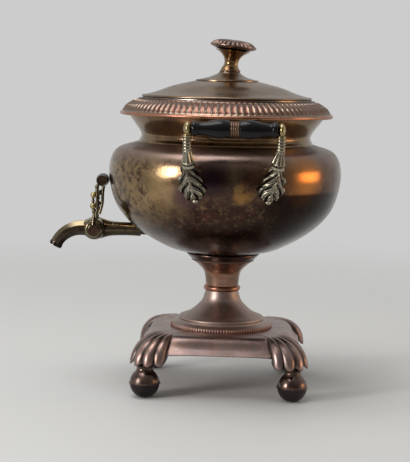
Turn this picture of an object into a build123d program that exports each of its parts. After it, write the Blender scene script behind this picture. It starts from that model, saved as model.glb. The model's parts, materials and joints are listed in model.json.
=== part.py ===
from build123d import *
import math
import os

# Tea urn of fused silver plate on copper, with a lift-off lid, two bar handles and a plug tap.
# Millimetres. Z is up, the origin is on the urn's axis at table level, the tap points along -X,
# and the two handles stand on the front (-Y) and the back (+Y).

os.makedirs("parts", exist_ok=True)

# Sheet and general fits
sheet = 1.6
solder_gap = 0.05
running_gap = 0.04
lift_gap = 0.4

# Feet and base
foot_radius = 16.0
foot_pitch = 157.0
foot_flat = 4.5
foot_neck_radius = 9.6
foot_neck_z = 34.0
foot_post_radius = 3.5
foot_post_top = 50.0
seam_lip = 0.9
seam_height = 1.4
base_top = 64.8
skirt_foot_z = 46.0
skirt_reach = 85.0
skirt_width = 109.0
skirt_shoulder = 70.0
skirt_roll = 1.6
fan_origin = 40.0
fan_start = 20.0
fan_tip_z = 35.0
fan_tips = [(66.1, 56.9), (55.9, 63.0), (45.0, 65.8), (34.1, 63.0), (23.9, 56.9)]
finger_half_width = 6.9
finger_half_depth = 3.4

# Pedestal
band_radius = 56.2
band_height = 6.0
band_reeds = 112
reed_cut = 0.8
ridge_radius = 47.1
stem_radius = 18.0
knop_z = 108.7
knop_radius = 20.4
knop_section = 3.0
cup_radius = 40.0
cup_step = 34.0
pedestal_wall = 2.2

# Bowl, neck and rim
bowl_radius = 127.4
bowl_waist_z = 236.0
bowl_seat_z = 148.0
bowl_seat_radius = 37.0
crease_radius = 96.0
crease_z = 269.2
neck_waist_radius = 92.9
neck_waist_z = 278.2
neck_tail = 3.0
rim_flange_z = 302.2
rim_flange_radius = 112.4
wire_section = 2.0
wire_radius = 114.6
border_height = 13.4
border_top_radius = 97.4
border_skin = 2.0
border_wall = 4.4
gadroons = 108
gadroon_cut = 1.0
collar_bore = 88.0
collar_flange = 1.0
collar_depth = 12.0

# Lid and its knob
lid_radius = 93.1
lid_roll = 1.5
lid_rise = 17.3
lid_wall = 1.5
bezel_depth = 9.0
bezel_shoulder = 0.8
knob_disc_radius = 34.2
knob_disc_thickness = 1.7
knob_cone_height = 8.2
knob_collar_radius = 11.4
knob_collar_height = 2.6
knob_lean = 6.0
knob_stem_radius = 7.6
knob_cap_radius = 25.4
knob_cap_height = 11.5
knob_rise = 33.0
knob_flutes = 26
knob_stud_radius = 3.0
knob_stud_length = 9.0
nut_across = 11.0
nut_height = 4.0

# Heater
socket_radius = 33.0
socket_top = 262.0
heater_radius = 28.0
heater_height = 84.0
heater_eye_radius = 9.0
heater_eye_wire = 2.6
cover_height = 7.0
cover_flange = 36.0

# Handles
handle_turn = 4.5
bar_clearance = 12.6
bar_z = 289.5
bar_span = 95.0
bar_ball_radius = 7.2
bar_ball_half_width = 4.0
bar_rod_radius = 2.0
grip_swell = 9.8
grip_neck = 6.2
grip_bead = 8.0
ring_width = 9.2
ring_radius = 7.8
leaf_spread = 80.0
leaf_top_z = 250.0
leaf_tip_z = 216.0
leaf_half_width = 14.0
stud_radius = 2.0
stud_z = 238.0
stud_bite = 4.5
stud_head_radius = 5.0
stud_head_height = 2.5
washer_radius = 7.5
washer_height = 1.2

# Tap
tap_z = 171.0
plug_clearance = 15.1
barrel_radius = 12.6
barrel_half_length = 14.0
tap_tube_radius = 7.8
tap_bore = 4.5
plug_radius_near = 8.2
plug_radius_far = 7.2
spout_across = 16.0
spout_tip_across = 13.4
spout_bend = 32.0
spout_turn = 62.0
spout_tip_length = 4.0
spigot_radius = 6.0
key_arm_thickness = 3.0
key_arm_gap = 0.4
key_ring_radius = 8.0
key_screw_radius = 2.0
key_head_radius = 5.4
key_head_height = 1.8
key_grip_rise = 53.8
key_grip_lean = 8.0
key_grip_radius = 7.2

# Heights and radii that follow from the sizes above
bar_reach = bowl_radius + bar_clearance
plug_x = -bowl_radius - plug_clearance
border_top_z = rim_flange_z + border_height
seat_z = border_top_z + collar_flange
lid_edge_z = seat_z + bezel_shoulder + lid_roll
lid_top_z = lid_edge_z + lid_rise
knob_disc_z = lid_top_z
knob_collar_z = knob_disc_z + knob_disc_thickness + knob_cone_height
knob_foot_z = knob_collar_z + knob_collar_height
band_z = base_top
band_top_z = band_z + band_height
skirt_base_z = band_top_z
bowl_floor_z = bowl_seat_z + sheet
foot_offset = foot_pitch / 2
half_span = bar_span / 2
leaf_x = leaf_spread / 2
leaf_surface = math.sqrt(bowl_radius**2 - leaf_x**2)
stud_turn = math.degrees(math.atan2(leaf_x, leaf_surface))


def wall_line(outline, wall, count=13):
    """A curve beside an outline, one wall thickness to the left of its direction."""
    points = []
    for step in range(count):
        share = step / (count - 1)
        place = outline @ share
        along = outline % share
        points.append((place.X - wall * along.Y, place.Y + wall * along.X))
    return Spline(*points)


def finish(piece, label):
    piece.label = label
    export_step(piece, f"parts/{label}.step")


def bowl_side_line():
    return Spline(
        (bowl_seat_radius, bowl_seat_z),
        (0.492 * bowl_radius, bowl_seat_z + 7.0),
        (0.764 * bowl_radius, bowl_seat_z + 27.4),
        (0.937 * bowl_radius, bowl_seat_z + 53.0),
        (bowl_radius, bowl_waist_z),
        (0.942 * bowl_radius, bowl_waist_z + 23.7),
        (crease_radius + 0.4, crease_z),
        tangents=[(1, 0.22), (-1, 0.16)],
    )


def stud_plane(turn, depth=0.0):
    outward = Vector(math.cos(math.radians(turn)), math.sin(math.radians(turn)))
    return Plane(origin=outward * (bowl_radius - depth) + Vector(0, 0, stud_z), z_dir=outward)


# Bowl: a flat seat, a full swelling side and a shoulder that ends in a round mouth
with BuildPart() as bowl_sheet:
    with BuildSketch(Plane.XZ):
        with BuildLine():
            side = bowl_side_line()
            inside = wall_line(side, sheet)
            Line(side @ 0, inside @ 0)
            Line(side @ 1, inside @ 1)
        make_face()
        with Locations((0, bowl_seat_z)):
            Rectangle(bowl_seat_radius + 0.5, sheet, align=(Align.MIN, Align.MIN))
    revolve(axis=Axis.Z)
    with BuildSketch(Plane.XY.offset(crease_z - 8)):
        Circle(crease_radius)
    extrude(amount=20, mode=Mode.SUBTRACT)
with BuildPart() as bowl:
    add(bowl_sheet.part)
    for side_turn in (-90, 90):
        for lean in (-stud_turn, stud_turn):
            with BuildSketch(stud_plane(side_turn + lean + handle_turn)):
                Circle(stud_radius + solder_gap)
            extrude(amount=4 * sheet, both=True, mode=Mode.SUBTRACT)
    with BuildSketch(Plane(origin=(-bowl_seat_radius, 0, tap_z), z_dir=(-1, 0, 0))):
        Circle(spigot_radius + solder_gap)
    extrude(amount=bowl_radius, mode=Mode.SUBTRACT)

# Neck: a hollow-curved ring whose tail stands inside the bowl's mouth, with a flange at the rim
with BuildPart() as neck:
    with BuildSketch(Plane.XZ):
        with BuildLine():
            tail = Line(
                (crease_radius - solder_gap, crease_z - neck_tail),
                (crease_radius - solder_gap, crease_z),
            )
            hollow = Spline(
                tail @ 1,
                (neck_waist_radius, neck_waist_z),
                (1.127 * neck_waist_radius, rim_flange_z - 7.0),
                (rim_flange_radius - 4.0, rim_flange_z - sheet),
                tangents=[(-0.7, 1), (1, 0.1)],
            )
            inside = wall_line(hollow, sheet)
            Polyline(
                hollow @ 1,
                (rim_flange_radius, rim_flange_z - sheet),
                (rim_flange_radius, rim_flange_z),
                (rim_flange_radius - 4.0, rim_flange_z),
                inside @ 1,
            )
            Polyline(
                inside @ 0,
                (crease_radius - solder_gap - sheet, crease_z - neck_tail),
                tail @ 0,
            )
        make_face()
    revolve(axis=Axis.Z)

# Rim wire: a round copper wire soldered round the flange
with BuildPart() as rim_wire:
    with BuildSketch(Plane.XZ):
        with Locations((wire_radius, rim_flange_z - wire_section - solder_gap)):
            Circle(wire_section)
    revolve(axis=Axis.Z)

# Rim border: a stamped quarter-round moulding, cut all round into narrow lobes
border_foot = (wire_radius - 0.4, rim_flange_z)
border_belly = (0.965 * wire_radius, rim_flange_z + 0.55 * border_height)
border_head = (border_top_radius, border_top_z)
with BuildPart() as gadroon_cutter:
    with BuildLine(Plane.XZ) as cut_path:
        ThreePointArc(
            (border_foot[0] + 0.2, rim_flange_z + 2.4),
            (border_belly[0] + 0.3, border_belly[1] + 0.2),
            (border_head[0] + 2.0, border_top_z + 0.4),
        )
    with BuildSketch(Plane(origin=cut_path.line @ 0, z_dir=cut_path.line % 0)):
        Circle(gadroon_cut)
    sweep()
fill_foot = (border_foot[0] - border_skin - 0.4, rim_flange_z)
fill_belly = (border_belly[0] - 0.8 * border_skin, border_belly[1] - 0.8 * border_skin)
fill_head = (border_head[0] - border_skin, border_top_z)
back_foot = (border_foot[0] - border_wall, rim_flange_z)
back_belly = (border_belly[0] - border_wall, border_belly[1] - border_wall + 0.5)
back_head = (border_head[0] - border_wall, border_top_z)
with BuildPart() as border:
    with BuildSketch(Plane.XZ):
        with BuildLine():
            ThreePointArc(border_foot, border_belly, border_head)
            Line(border_head, fill_head)
            ThreePointArc(fill_head, fill_belly, fill_foot)
            Line(fill_foot, border_foot)
        make_face()
    revolve(axis=Axis.Z)
    with PolarLocations(0, gadroons):
        add(gadroon_cutter.part, mode=Mode.SUBTRACT)

# Border filling: the solder that backs the stamped border
with BuildPart() as border_filling:
    with BuildSketch(Plane.XZ):
        with BuildLine():
            ThreePointArc(fill_foot, fill_belly, fill_head)
            Line(fill_head, back_head)
            ThreePointArc(back_head, back_belly, back_foot)
            Line(back_foot, fill_foot)
        make_face()
    revolve(axis=Axis.Z)

# Mouth collar: the ring that lines the mouth and carries the lid
with BuildPart() as collar:
    with BuildSketch(Plane.XY.offset(border_top_z)):
        Circle(border_top_radius - 1.0)
        Circle(collar_bore, mode=Mode.SUBTRACT)
    extrude(amount=collar_flange)
    with BuildSketch(Plane.XY.offset(border_top_z)):
        Circle(collar_bore + sheet)
        Circle(collar_bore, mode=Mode.SUBTRACT)
    extrude(amount=-collar_depth)

# Lid dome: a low ogee with a rolled edge and a flat seat for the knob
lid_seat_radius = knob_disc_radius + 1.5
with BuildPart() as lid_dome:
    with BuildSketch(Plane.XZ):
        with BuildLine():
            crown = Spline(
                (lid_radius - lid_roll, lid_edge_z + lid_wall / 2 + 0.3),
                (0.833 * lid_radius, lid_edge_z + 0.24 * lid_rise + lid_wall / 2),
                (0.63 * lid_radius, lid_edge_z + 0.61 * lid_rise + lid_wall / 2),
                (lid_seat_radius, lid_top_z),
                tangents=[(-1, 0.12), (-1, 0.12)],
            )
            inside = wall_line(crown, lid_wall)
            Line(crown @ 0, inside @ 0)
            Line(crown @ 1, inside @ 1)
        make_face()
        with Locations((0, lid_top_z)):
            Rectangle(lid_seat_radius + 0.3, lid_wall, align=(Align.MIN, Align.MAX))
        with Locations((lid_radius - lid_roll, lid_edge_z)):
            Circle(lid_roll)
    revolve(axis=Axis.Z)
    with BuildSketch(Plane.XY.offset(lid_top_z)):
        Circle(knob_stud_radius + solder_gap)
    extrude(amount=-2 * lid_wall, mode=Mode.SUBTRACT)

# Lid bezel: the ring under the dome that drops inside the mouth collar
bezel_radius = collar_bore - lift_gap
with BuildPart() as lid_bezel:
    with BuildSketch(Plane.XY.offset(seat_z + bezel_shoulder - bezel_depth)):
        Circle(bezel_radius)
        Circle(bezel_radius - sheet, mode=Mode.SUBTRACT)
    extrude(amount=bezel_depth + lid_roll - bezel_shoulder + 1.2)
    with BuildSketch(Plane.XY.offset(seat_z)):
        Circle(bezel_radius + 3.0)
        Circle(bezel_radius - sheet, mode=Mode.SUBTRACT)
    extrude(amount=bezel_shoulder)
    add(lid_dome.part, mode=Mode.SUBTRACT)

# Knob base: a thin disc and a stepped cone, with a collar above and a stud below
cone_z = knob_disc_z + knob_disc_thickness
with BuildPart() as knob_base:
    with BuildSketch(Plane.XZ):
        with Locations((0, knob_disc_z)):
            Rectangle(knob_disc_radius, knob_disc_thickness, align=(Align.MIN, Align.MIN))
        with BuildLine():
            foot = Line((0, cone_z), (0.87 * knob_disc_radius, cone_z))
            flank = Spline(
                foot @ 1,
                (0.6 * knob_disc_radius, cone_z + 0.36 * knob_cone_height),
                (knob_collar_radius, cone_z + knob_cone_height),
                tangents=[(-1, 0.15), (-0.8, 1)],
            )
            Polyline(flank @ 1, (0, knob_collar_z), foot @ 0)
        make_face()
        with Locations((0, knob_collar_z)):
            Rectangle(
                knob_collar_radius - knob_collar_height / 2,
                knob_collar_height,
                align=(Align.MIN, Align.MIN),
            )
        with Locations(
            (knob_collar_radius - knob_collar_height / 2, knob_collar_z + knob_collar_height / 2)
        ):
            Circle(knob_collar_height / 2)
    revolve(axis=Axis.Z)
    with BuildSketch(Plane.XY.offset(knob_disc_z)):
        Circle(knob_stud_radius)
    extrude(amount=-knob_stud_length)

# Knob nut, under the dome
with BuildPart() as knob_nut:
    with BuildSketch(Plane.XY.offset(lid_top_z - lid_wall)):
        RegularPolygon(nut_across / 2, 6, major_radius=False)
        Circle(knob_stud_radius + solder_gap, mode=Mode.SUBTRACT)
    extrude(amount=-nut_height)

# Knob stem and cap: turned upright, then leaned over together as the old stem has bent
cap_foot = knob_rise - knob_cap_height
with BuildPart() as stem_upright:
    with BuildSketch(Plane.XZ):
        with BuildLine():
            stem_side = Spline(
                (1.4 * knob_stem_radius, -2.0),
                (knob_stem_radius, 0.4 * cap_foot),
                (1.22 * knob_stem_radius, 0.63 * cap_foot),
                (2.6 * knob_stem_radius, cap_foot),
                tangents=[(-0.6, 1), (1, 0.35)],
            )
            Polyline(stem_side @ 1, (0, cap_foot), (0, -2.0), stem_side @ 0)
        make_face()
    revolve(axis=Axis.Z)
cap_lip = 4.4
with BuildPart() as flute_cutter:
    with BuildLine(Plane.XZ) as flute_path:
        ThreePointArc(
            (0.38 * knob_cap_radius, knob_rise + 0.9),
            (0.76 * knob_cap_radius, knob_rise - 1.2),
            (knob_cap_radius + 1.0, knob_rise - 5.6),
        )
    with BuildSketch(Plane(origin=flute_path.line @ 0, z_dir=flute_path.line % 0)):
        Circle(1.5)
    sweep()
with BuildPart() as cap_upright:
    with BuildSketch(Plane.XZ):
        with BuildLine():
            under = ThreePointArc(
                (0, cap_foot),
                (0.6 * knob_cap_radius, cap_foot + 0.5),
                (knob_cap_radius - 1.0, cap_foot + cap_lip - 1.6),
            )
            lip = ThreePointArc(
                under @ 1,
                (knob_cap_radius, cap_foot + cap_lip),
                (knob_cap_radius - 0.8, cap_foot + cap_lip + 1.6),
            )
            crown = Spline(
                lip @ 1,
                (0.6 * knob_cap_radius, knob_rise - 1.0),
                (0, knob_rise),
                tangents=[(-0.6, 1), (-1, 0)],
            )
            Line(crown @ 1, under @ 0)
        make_face()
    revolve(axis=Axis.Z)
    with PolarLocations(0, knob_flutes):
        add(flute_cutter.part, mode=Mode.SUBTRACT)
knob_place = Pos(0, 0, knob_foot_z) * Rot(0, knob_lean, 0)
knob_cap = knob_place * cap_upright.part
knob_seat = Pos(0, 0, knob_foot_z) * Cylinder(
    knob_disc_radius, knob_rise, align=(Align.CENTER, Align.CENTER, Align.MAX)
)
knob_stem = knob_place * stem_upright.part - knob_cap - knob_seat

# Reeded band on the base plate, under the pedestal
with BuildPart() as reeded_band:
    with BuildSketch(Plane.XZ):
        with BuildLine():
            band_side = ThreePointArc(
                (band_radius - 0.6, band_z),
                (band_radius, band_z + 0.5 * band_height),
                (band_radius - 1.4, band_top_z),
            )
            Polyline(
                band_side @ 1,
                (ridge_radius - 4.0, band_top_z),
                (ridge_radius - 4.0, band_z),
                band_side @ 0,
            )
        make_face()
    revolve(axis=Axis.Z)
    with BuildSketch(Plane.XY.offset(band_z + 1.2)):
        with PolarLocations(band_radius + 0.2, band_reeds):
            Circle(reed_cut)
    extrude(amount=band_height - 2.0, mode=Mode.SUBTRACT)

# Pedestal skirt: the flared foot of the stem, with a ridge above a hollow
skirt_top_z = knop_z - knop_section
skirt_rise = skirt_top_z - skirt_base_z
flare = [
    (stem_radius, skirt_top_z),
    (1.25 * stem_radius, skirt_base_z + 0.65 * skirt_rise),
    (0.73 * ridge_radius, skirt_base_z + 0.335 * skirt_rise),
    (ridge_radius - 1.0, skirt_base_z + 0.19 * skirt_rise),
]
with BuildPart() as pedestal_skirt:
    with BuildSketch(Plane.XZ):
        with BuildLine():
            outer = Spline(*flare, tangents=[(0.05, -1), (1, -0.3)])
            hollow = ThreePointArc(
                (ridge_radius + 0.8, skirt_base_z + 0.1 * skirt_rise),
                (ridge_radius + 2.6, skirt_base_z + 0.035 * skirt_rise),
                (band_radius - 2.4, skirt_base_z),
            )
            Polyline(
                outer @ 1,
                (ridge_radius, skirt_base_z + 0.15 * skirt_rise),
                hollow @ 0,
            )
            inner = Spline(
                *[(r - 0.75 * pedestal_wall, z - 0.9 * pedestal_wall) for r, z in flare[1:]],
                (ridge_radius - 2.0, skirt_base_z),
            )
            Line(hollow @ 1, inner @ 1)
            Polyline(
                inner @ 0,
                (stem_radius - pedestal_wall, skirt_top_z - 4.0),
                (stem_radius - pedestal_wall, skirt_top_z),
                outer @ 0,
            )
        make_face()
    revolve(axis=Axis.Z)

# Knop: the ring round the stem's waist
with BuildPart() as knop_ring:
    with BuildSketch(Plane.XZ):
        with Locations((knop_radius - knop_section, knop_z)):
            Circle(knop_section)
        with Locations((stem_radius - pedestal_wall - 1.0, knop_z)):
            Rectangle(
                knop_radius - knop_section - stem_radius + pedestal_wall + 1.0,
                2 * knop_section,
                align=(Align.MIN, Align.CENTER),
            )
    revolve(axis=Axis.Z)

# Pedestal cup: the flared top of the stem that carries the bowl
cup_foot_z = knop_z + knop_section
cup_rise = bowl_seat_z - cup_foot_z
cup_side = [
    (stem_radius, cup_foot_z),
    (1.06 * stem_radius, cup_foot_z + 0.28 * cup_rise),
    (1.22 * stem_radius, cup_foot_z + 0.49 * cup_rise),
    (cup_step - 1.2, cup_foot_z + 0.76 * cup_rise),
]
with BuildPart() as pedestal_cup:
    with BuildSketch(Plane.XZ):
        with BuildLine():
            outer = Spline(*cup_side, tangents=[(0, 1), (1, 0.5)])
            Polyline(
                outer @ 1,
                (cup_step + 0.4, cup_foot_z + 0.765 * cup_rise),
                (cup_step + 0.4, cup_foot_z + 0.81 * cup_rise),
                (cup_radius, bowl_seat_z - 1.4),
                (cup_radius - 0.8, bowl_seat_z),
                (1.3 * stem_radius, bowl_seat_z),
                (1.3 * stem_radius, bowl_seat_z - pedestal_wall),
            )
            inner = Spline(
                *[(r - pedestal_wall, z) for r, z in cup_side[:3]],
                (cup_step - 1.2 - pedestal_wall, cup_foot_z + 0.76 * cup_rise + 0.5),
            )
            Polyline(
                (1.3 * stem_radius, bowl_seat_z - pedestal_wall),
                (cup_step - pedestal_wall, bowl_seat_z - pedestal_wall),
                inner @ 1,
            )
            Line(inner @ 0, outer @ 0)
        make_face()
    revolve(axis=Axis.Z)

# Base plate: a square sheet, open in the middle, with a swept skirt along each side
with BuildPart() as base_plate:
    with BuildSketch(Plane.XY.offset(base_top)):
        Rectangle(2 * skirt_shoulder, skirt_width)
        Rectangle(skirt_width, 2 * skirt_shoulder)
        Circle(ridge_radius - 4.0, mode=Mode.SUBTRACT)
    extrude(amount=-sheet)
    for turn in range(4):
        with BuildSketch(Plane.YZ.rotated((0, 0, 90 * turn))):
            with BuildLine():
                sweep_down = Spline(
                    (skirt_shoulder, base_top),
                    (skirt_shoulder + 0.47 * (skirt_reach - skirt_shoulder), base_top - 3.6),
                    (skirt_shoulder + 0.68 * (skirt_reach - skirt_shoulder), base_top - 9.4),
                    (skirt_reach, skirt_foot_z + skirt_roll),
                    tangents=[(1, 0), (0.9, -1)],
                )
                inside = wall_line(sweep_down, -sheet)
                Line(sweep_down @ 0, inside @ 0)
                Line(sweep_down @ 1, inside @ 1)
            make_face()
            with Locations((skirt_reach - 0.6, skirt_foot_z + skirt_roll)):
                Circle(skirt_roll)
        extrude(amount=skirt_width / 2, both=True)

# Corner shells: five convex fingers that fan out over each foot, with a socket below for its post
fan_top_z = base_top + 1.4


def finger_plane(turn, reach, angle):
    direction = Vector(math.cos(math.radians(turn)), math.sin(math.radians(turn)))
    run = reach - fan_start
    drop = fan_top_z - fan_tip_z
    along = fan_start + (run - finger_half_depth) * math.sin(angle)
    height = fan_tip_z + (drop - finger_half_depth) * math.cos(angle)
    place = Vector(fan_origin, fan_origin) + direction * along + Vector(0, 0, height)
    forward = direction * (run * math.cos(angle)) - Vector(0, 0, drop * math.sin(angle))
    across = Vector(0, 0, 1).cross(direction)
    return Plane(origin=place, x_dir=across, z_dir=forward)


finger_steps = [(0.0, 0.62), (0.45, 0.8), (0.9, 0.93), (1.3, 1.0), (1.52, 0.8)]
with BuildPart() as corner_shell:
    for turn, reach in fan_tips:
        for angle, share in finger_steps:
            with BuildSketch(finger_plane(turn, reach, angle)):
                Ellipse(finger_half_width * share, finger_half_depth)
        loft()
    add(base_plate.part, mode=Mode.SUBTRACT)
    with BuildSketch(Plane.XY.offset(foot_neck_z)):
        with Locations((foot_offset, foot_offset)):
            Circle(foot_post_radius + solder_gap)
    extrude(amount=foot_post_top - foot_neck_z, mode=Mode.SUBTRACT)

# Ball feet: two hollow halves with a lipped seam, the upper one with a neck and a post
ball_z = math.sqrt(foot_radius**2 - foot_flat**2)
ball_inside = foot_radius - sheet
with BuildPart() as foot_lower:
    with BuildSketch(Plane.XZ):
        with BuildLine():
            lower_arc = RadiusArc((foot_flat, 0), (foot_radius, ball_z), -foot_radius)
            Polyline(lower_arc @ 1, (0, ball_z), (0, 0), lower_arc @ 0)
        make_face()
        with Locations((0, ball_z)):
            Rectangle(foot_radius + seam_lip, seam_height / 2, align=(Align.MIN, Align.MAX))
    revolve(axis=Axis.Z)
    with Locations((0, 0, ball_z)):
        Sphere(ball_inside, mode=Mode.SUBTRACT)
with BuildPart() as foot_upper:
    with BuildSketch(Plane.XZ):
        with BuildLine():
            shoulder_turn = math.radians(48)
            ball_arc = RadiusArc(
                (foot_radius, ball_z + seam_height / 2),
                (foot_radius * math.cos(shoulder_turn), ball_z + foot_radius * math.sin(shoulder_turn)),
                -foot_radius,
            )
            throat = Spline(
                ball_arc @ 1,
                (foot_neck_radius - 0.6, foot_neck_z - 2.6),
                (foot_neck_radius + 0.4, foot_neck_z),
                tangents=[(-1, 1), (0.6, 1)],
            )
            Polyline(
                throat @ 1,
                (foot_post_radius, foot_neck_z),
                (foot_post_radius, foot_post_top),
                (0, foot_post_top),
                (0, ball_z),
                (foot_radius + seam_lip, ball_z),
                (foot_radius + seam_lip, ball_z + seam_height / 2),
                ball_arc @ 0,
            )
        make_face()
    revolve(axis=Axis.Z)
    with Locations((0, 0, ball_z)):
        Sphere(ball_inside, mode=Mode.SUBTRACT)


# Heater: a closed tube stands in the bowl, with a hot iron inside it and a loose cover on top
heater_floor_z = bowl_floor_z + sheet
with BuildPart() as heater_tube:
    with BuildSketch(Plane.XY.offset(bowl_floor_z)):
        Circle(socket_radius)
    extrude(amount=socket_top - bowl_floor_z)
    with BuildSketch(Plane.XY.offset(heater_floor_z)):
        Circle(socket_radius - sheet)
    extrude(amount=socket_top - heater_floor_z, mode=Mode.SUBTRACT)
    with BuildSketch(Plane.XY.offset(bowl_floor_z)):
        Circle(bowl_seat_radius - 0.5)
        Circle(socket_radius - sheet, mode=Mode.SUBTRACT)
    extrude(amount=sheet)
with BuildPart() as heater_iron:
    with BuildSketch(Plane.XY.offset(heater_floor_z)):
        Circle(heater_radius)
    extrude(amount=heater_height)
    chamfer(heater_iron.edges().filter_by(GeomType.CIRCLE), length=2.0)
heater_head_z = heater_floor_z + heater_height
with BuildPart() as heater_eye:
    with BuildSketch(Plane.XY.offset(heater_head_z)):
        Circle(heater_eye_wire)
    extrude(amount=2 * heater_eye_wire)
    eye_z = heater_head_z + heater_eye_wire + heater_eye_radius
    with BuildSketch(Plane.XY.offset(eye_z)):
        with Locations((heater_eye_radius, 0)):
            Circle(heater_eye_wire)
    revolve(axis=Axis((0, 0, eye_z), (0, 1, 0)))
with BuildPart() as heater_cover:
    with BuildSketch(Plane.XZ):
        with BuildLine():
            cover_knob_r = 6.0
            cover_top_z = socket_top + 2.4
            knob_side = Spline(
                (3.2, cover_top_z + 1.2),
                (3.0, cover_top_z + 4.0),
                (cover_knob_r, cover_top_z + 8.0),
                (0, cover_top_z + 12.0),
                tangents=[(0, 1), (-1, 0)],
            )
            Polyline(
                knob_side @ 1,
                (0, cover_top_z - sheet),
                (socket_radius - sheet - lift_gap - sheet, cover_top_z - sheet),
                (socket_radius - sheet - lift_gap - sheet, socket_top - cover_height),
                (socket_radius - sheet - lift_gap, socket_top - cover_height),
                (socket_radius - sheet - lift_gap, socket_top),
                (cover_flange, socket_top),
                (cover_flange, socket_top + 0.8),
                (cover_flange - 3.0, cover_top_z),
                knob_side @ 0,
            )
        make_face()
    revolve(axis=Axis.Z)

# Solid filling of the bowl's outer shape, which the clasps and the tap are cut to fit
with BuildPart() as bowl_filling:
    with BuildSketch(Plane.XZ):
        with BuildLine():
            skin = bowl_side_line()
            Polyline(skin @ 1, (0, crease_z), (0, bowl_seat_z), skin @ 0)
        make_face()
    revolve(axis=Axis.Z)

# Handle clasp: a flattened ball, a leaning arm with a collar and a leaf that grips the bowl
arm_foot = Vector(leaf_x + 5.1, leaf_surface + bar_clearance - 0.2, leaf_top_z + 3.0)
arm_run = Vector(half_span, bar_reach, bar_z - 5.0) - arm_foot
arm_shares = [
    (1.0, 1.0, 1.0, 3.6, 3.6),
    (1.0, 0.9, 0.71, 3.9, 3.9),
    (0.67, 0.7, 0.4, 4.3, 4.3),
    (0.33, 0.33, 0.175, 5.8, 5.4),
    (0.0, 0.0, 0.0, 6.8, 6.2),
]
arm_sections = []
for share_x, share_y, share_z, wide, deep in arm_shares:
    section = (
        arm_foot.X + share_x * arm_run.X,
        arm_foot.Y + share_y * arm_run.Y,
        arm_foot.Z + share_z * arm_run.Z,
        wide,
        deep,
    )
    arm_sections.append(section)
leaf_drop = leaf_top_z - leaf_tip_z
leaf_sections = [
    (arm_foot.X - 0.4, leaf_surface + 10.0, arm_foot.Z - 1.5, 5.6, 5.6),
    (leaf_x + 3.4, leaf_surface + 6.0, leaf_top_z - 0.12 * leaf_drop, 0.66 * leaf_half_width, 7.6),
    (leaf_x + 1.0, leaf_surface + 3.0, leaf_top_z - 0.36 * leaf_drop, leaf_half_width, 8.6),
    (leaf_x - 0.6, leaf_surface + 2.0, leaf_top_z - 0.62 * leaf_drop, 0.86 * leaf_half_width, 7.6),
    (leaf_x - 1.6, leaf_surface + 1.0, leaf_tip_z, 0.3 * leaf_half_width, 3.4),
]
with BuildPart() as clasp:
    for group in (arm_sections, leaf_sections):
        for x, y, z, wide, deep in group:
            with BuildSketch(Plane.XY.offset(z)):
                with Locations((x, -y)):
                    Ellipse(wide, deep)
        loft()
    with BuildSketch(Plane.XY.offset(arm_foot.Z + 0.7)):
        with Locations((arm_foot.X, 0.2 - arm_foot.Y)):
            Ellipse(7.4, 6.8)
    extrude(amount=-3.0)
    ball_place = Plane(origin=(half_span, -bar_reach, bar_z), x_dir=(1, 0, 0), z_dir=(0, -1, 0))
    with BuildSketch(ball_place):
        Ellipse(bar_ball_half_width, bar_ball_radius)
        Rectangle(
            4 * bar_ball_radius,
            2 * bar_ball_radius,
            align=(Align.CENTER, Align.MAX),
            mode=Mode.SUBTRACT,
        )
    revolve(axis=Axis((half_span, -bar_reach, bar_z), (1, 0, 0)))
    add(bowl_filling.part, mode=Mode.SUBTRACT)
    with BuildSketch(Plane(origin=(half_span, -bar_reach, bar_z), z_dir=(1, 0, 0))):
        Circle(bar_rod_radius + solder_gap)
    extrude(amount=2 * bar_ball_half_width, both=True, mode=Mode.SUBTRACT)
    with BuildSketch(stud_plane(stud_turn - 90)):
        Circle(stud_radius + solder_gap)
    extrude(amount=stud_bite + 0.5, both=True, mode=Mode.SUBTRACT)

# Handle grip: turned half, centre ring and the rod that holds them between the two balls
grip_start = ring_width / 2
grip_end = half_span - bar_ball_half_width
grip_run = grip_end - grip_start
grip_plane = Plane(origin=(0, -bar_reach, bar_z), x_dir=(1, 0, 0), z_dir=(0, -1, 0))
grip_axis = Axis((0, -bar_reach, bar_z), (1, 0, 0))
rod_hole = bar_rod_radius + solder_gap
with BuildPart() as grip:
    with BuildSketch(grip_plane):
        with BuildLine():
            swell = Spline(
                (grip_start, 0.82 * grip_swell),
                (grip_start + 0.32 * grip_run, grip_swell),
                (grip_start + 0.66 * grip_run, 0.78 * grip_swell),
                (grip_start + 0.86 * grip_run, grip_neck),
                tangents=[(1, 0.5), (1, -0.05)],
            )
            bead = ThreePointArc(
                swell @ 1,
                (grip_end - 0.07 * grip_run, grip_bead),
                (grip_end, grip_neck - 0.4),
            )
            Polyline(bead @ 1, (grip_end, rod_hole), (grip_start, rod_hole), swell @ 0)
        make_face()
    revolve(axis=grip_axis)
ring_beads = 4
bead_pitch = ring_width / ring_beads
with BuildPart() as grip_ring:
    with BuildSketch(grip_plane):
        with Locations((0, rod_hole)):
            Rectangle(
                ring_width, ring_radius - 0.5 * bead_pitch - rod_hole, align=(Align.CENTER, Align.MIN)
            )
        with Locations((0, ring_radius - 0.5 * bead_pitch)):
            with GridLocations(bead_pitch, 1, ring_beads, 1):
                Circle(bead_pitch / 2)
    revolve(axis=grip_axis)
with BuildPart() as grip_rod:
    with BuildSketch(Plane(origin=(0, -bar_reach, bar_z), z_dir=(1, 0, 0))):
        Circle(bar_rod_radius)
    extrude(amount=half_span + bar_ball_half_width - 0.3, both=True)

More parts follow.
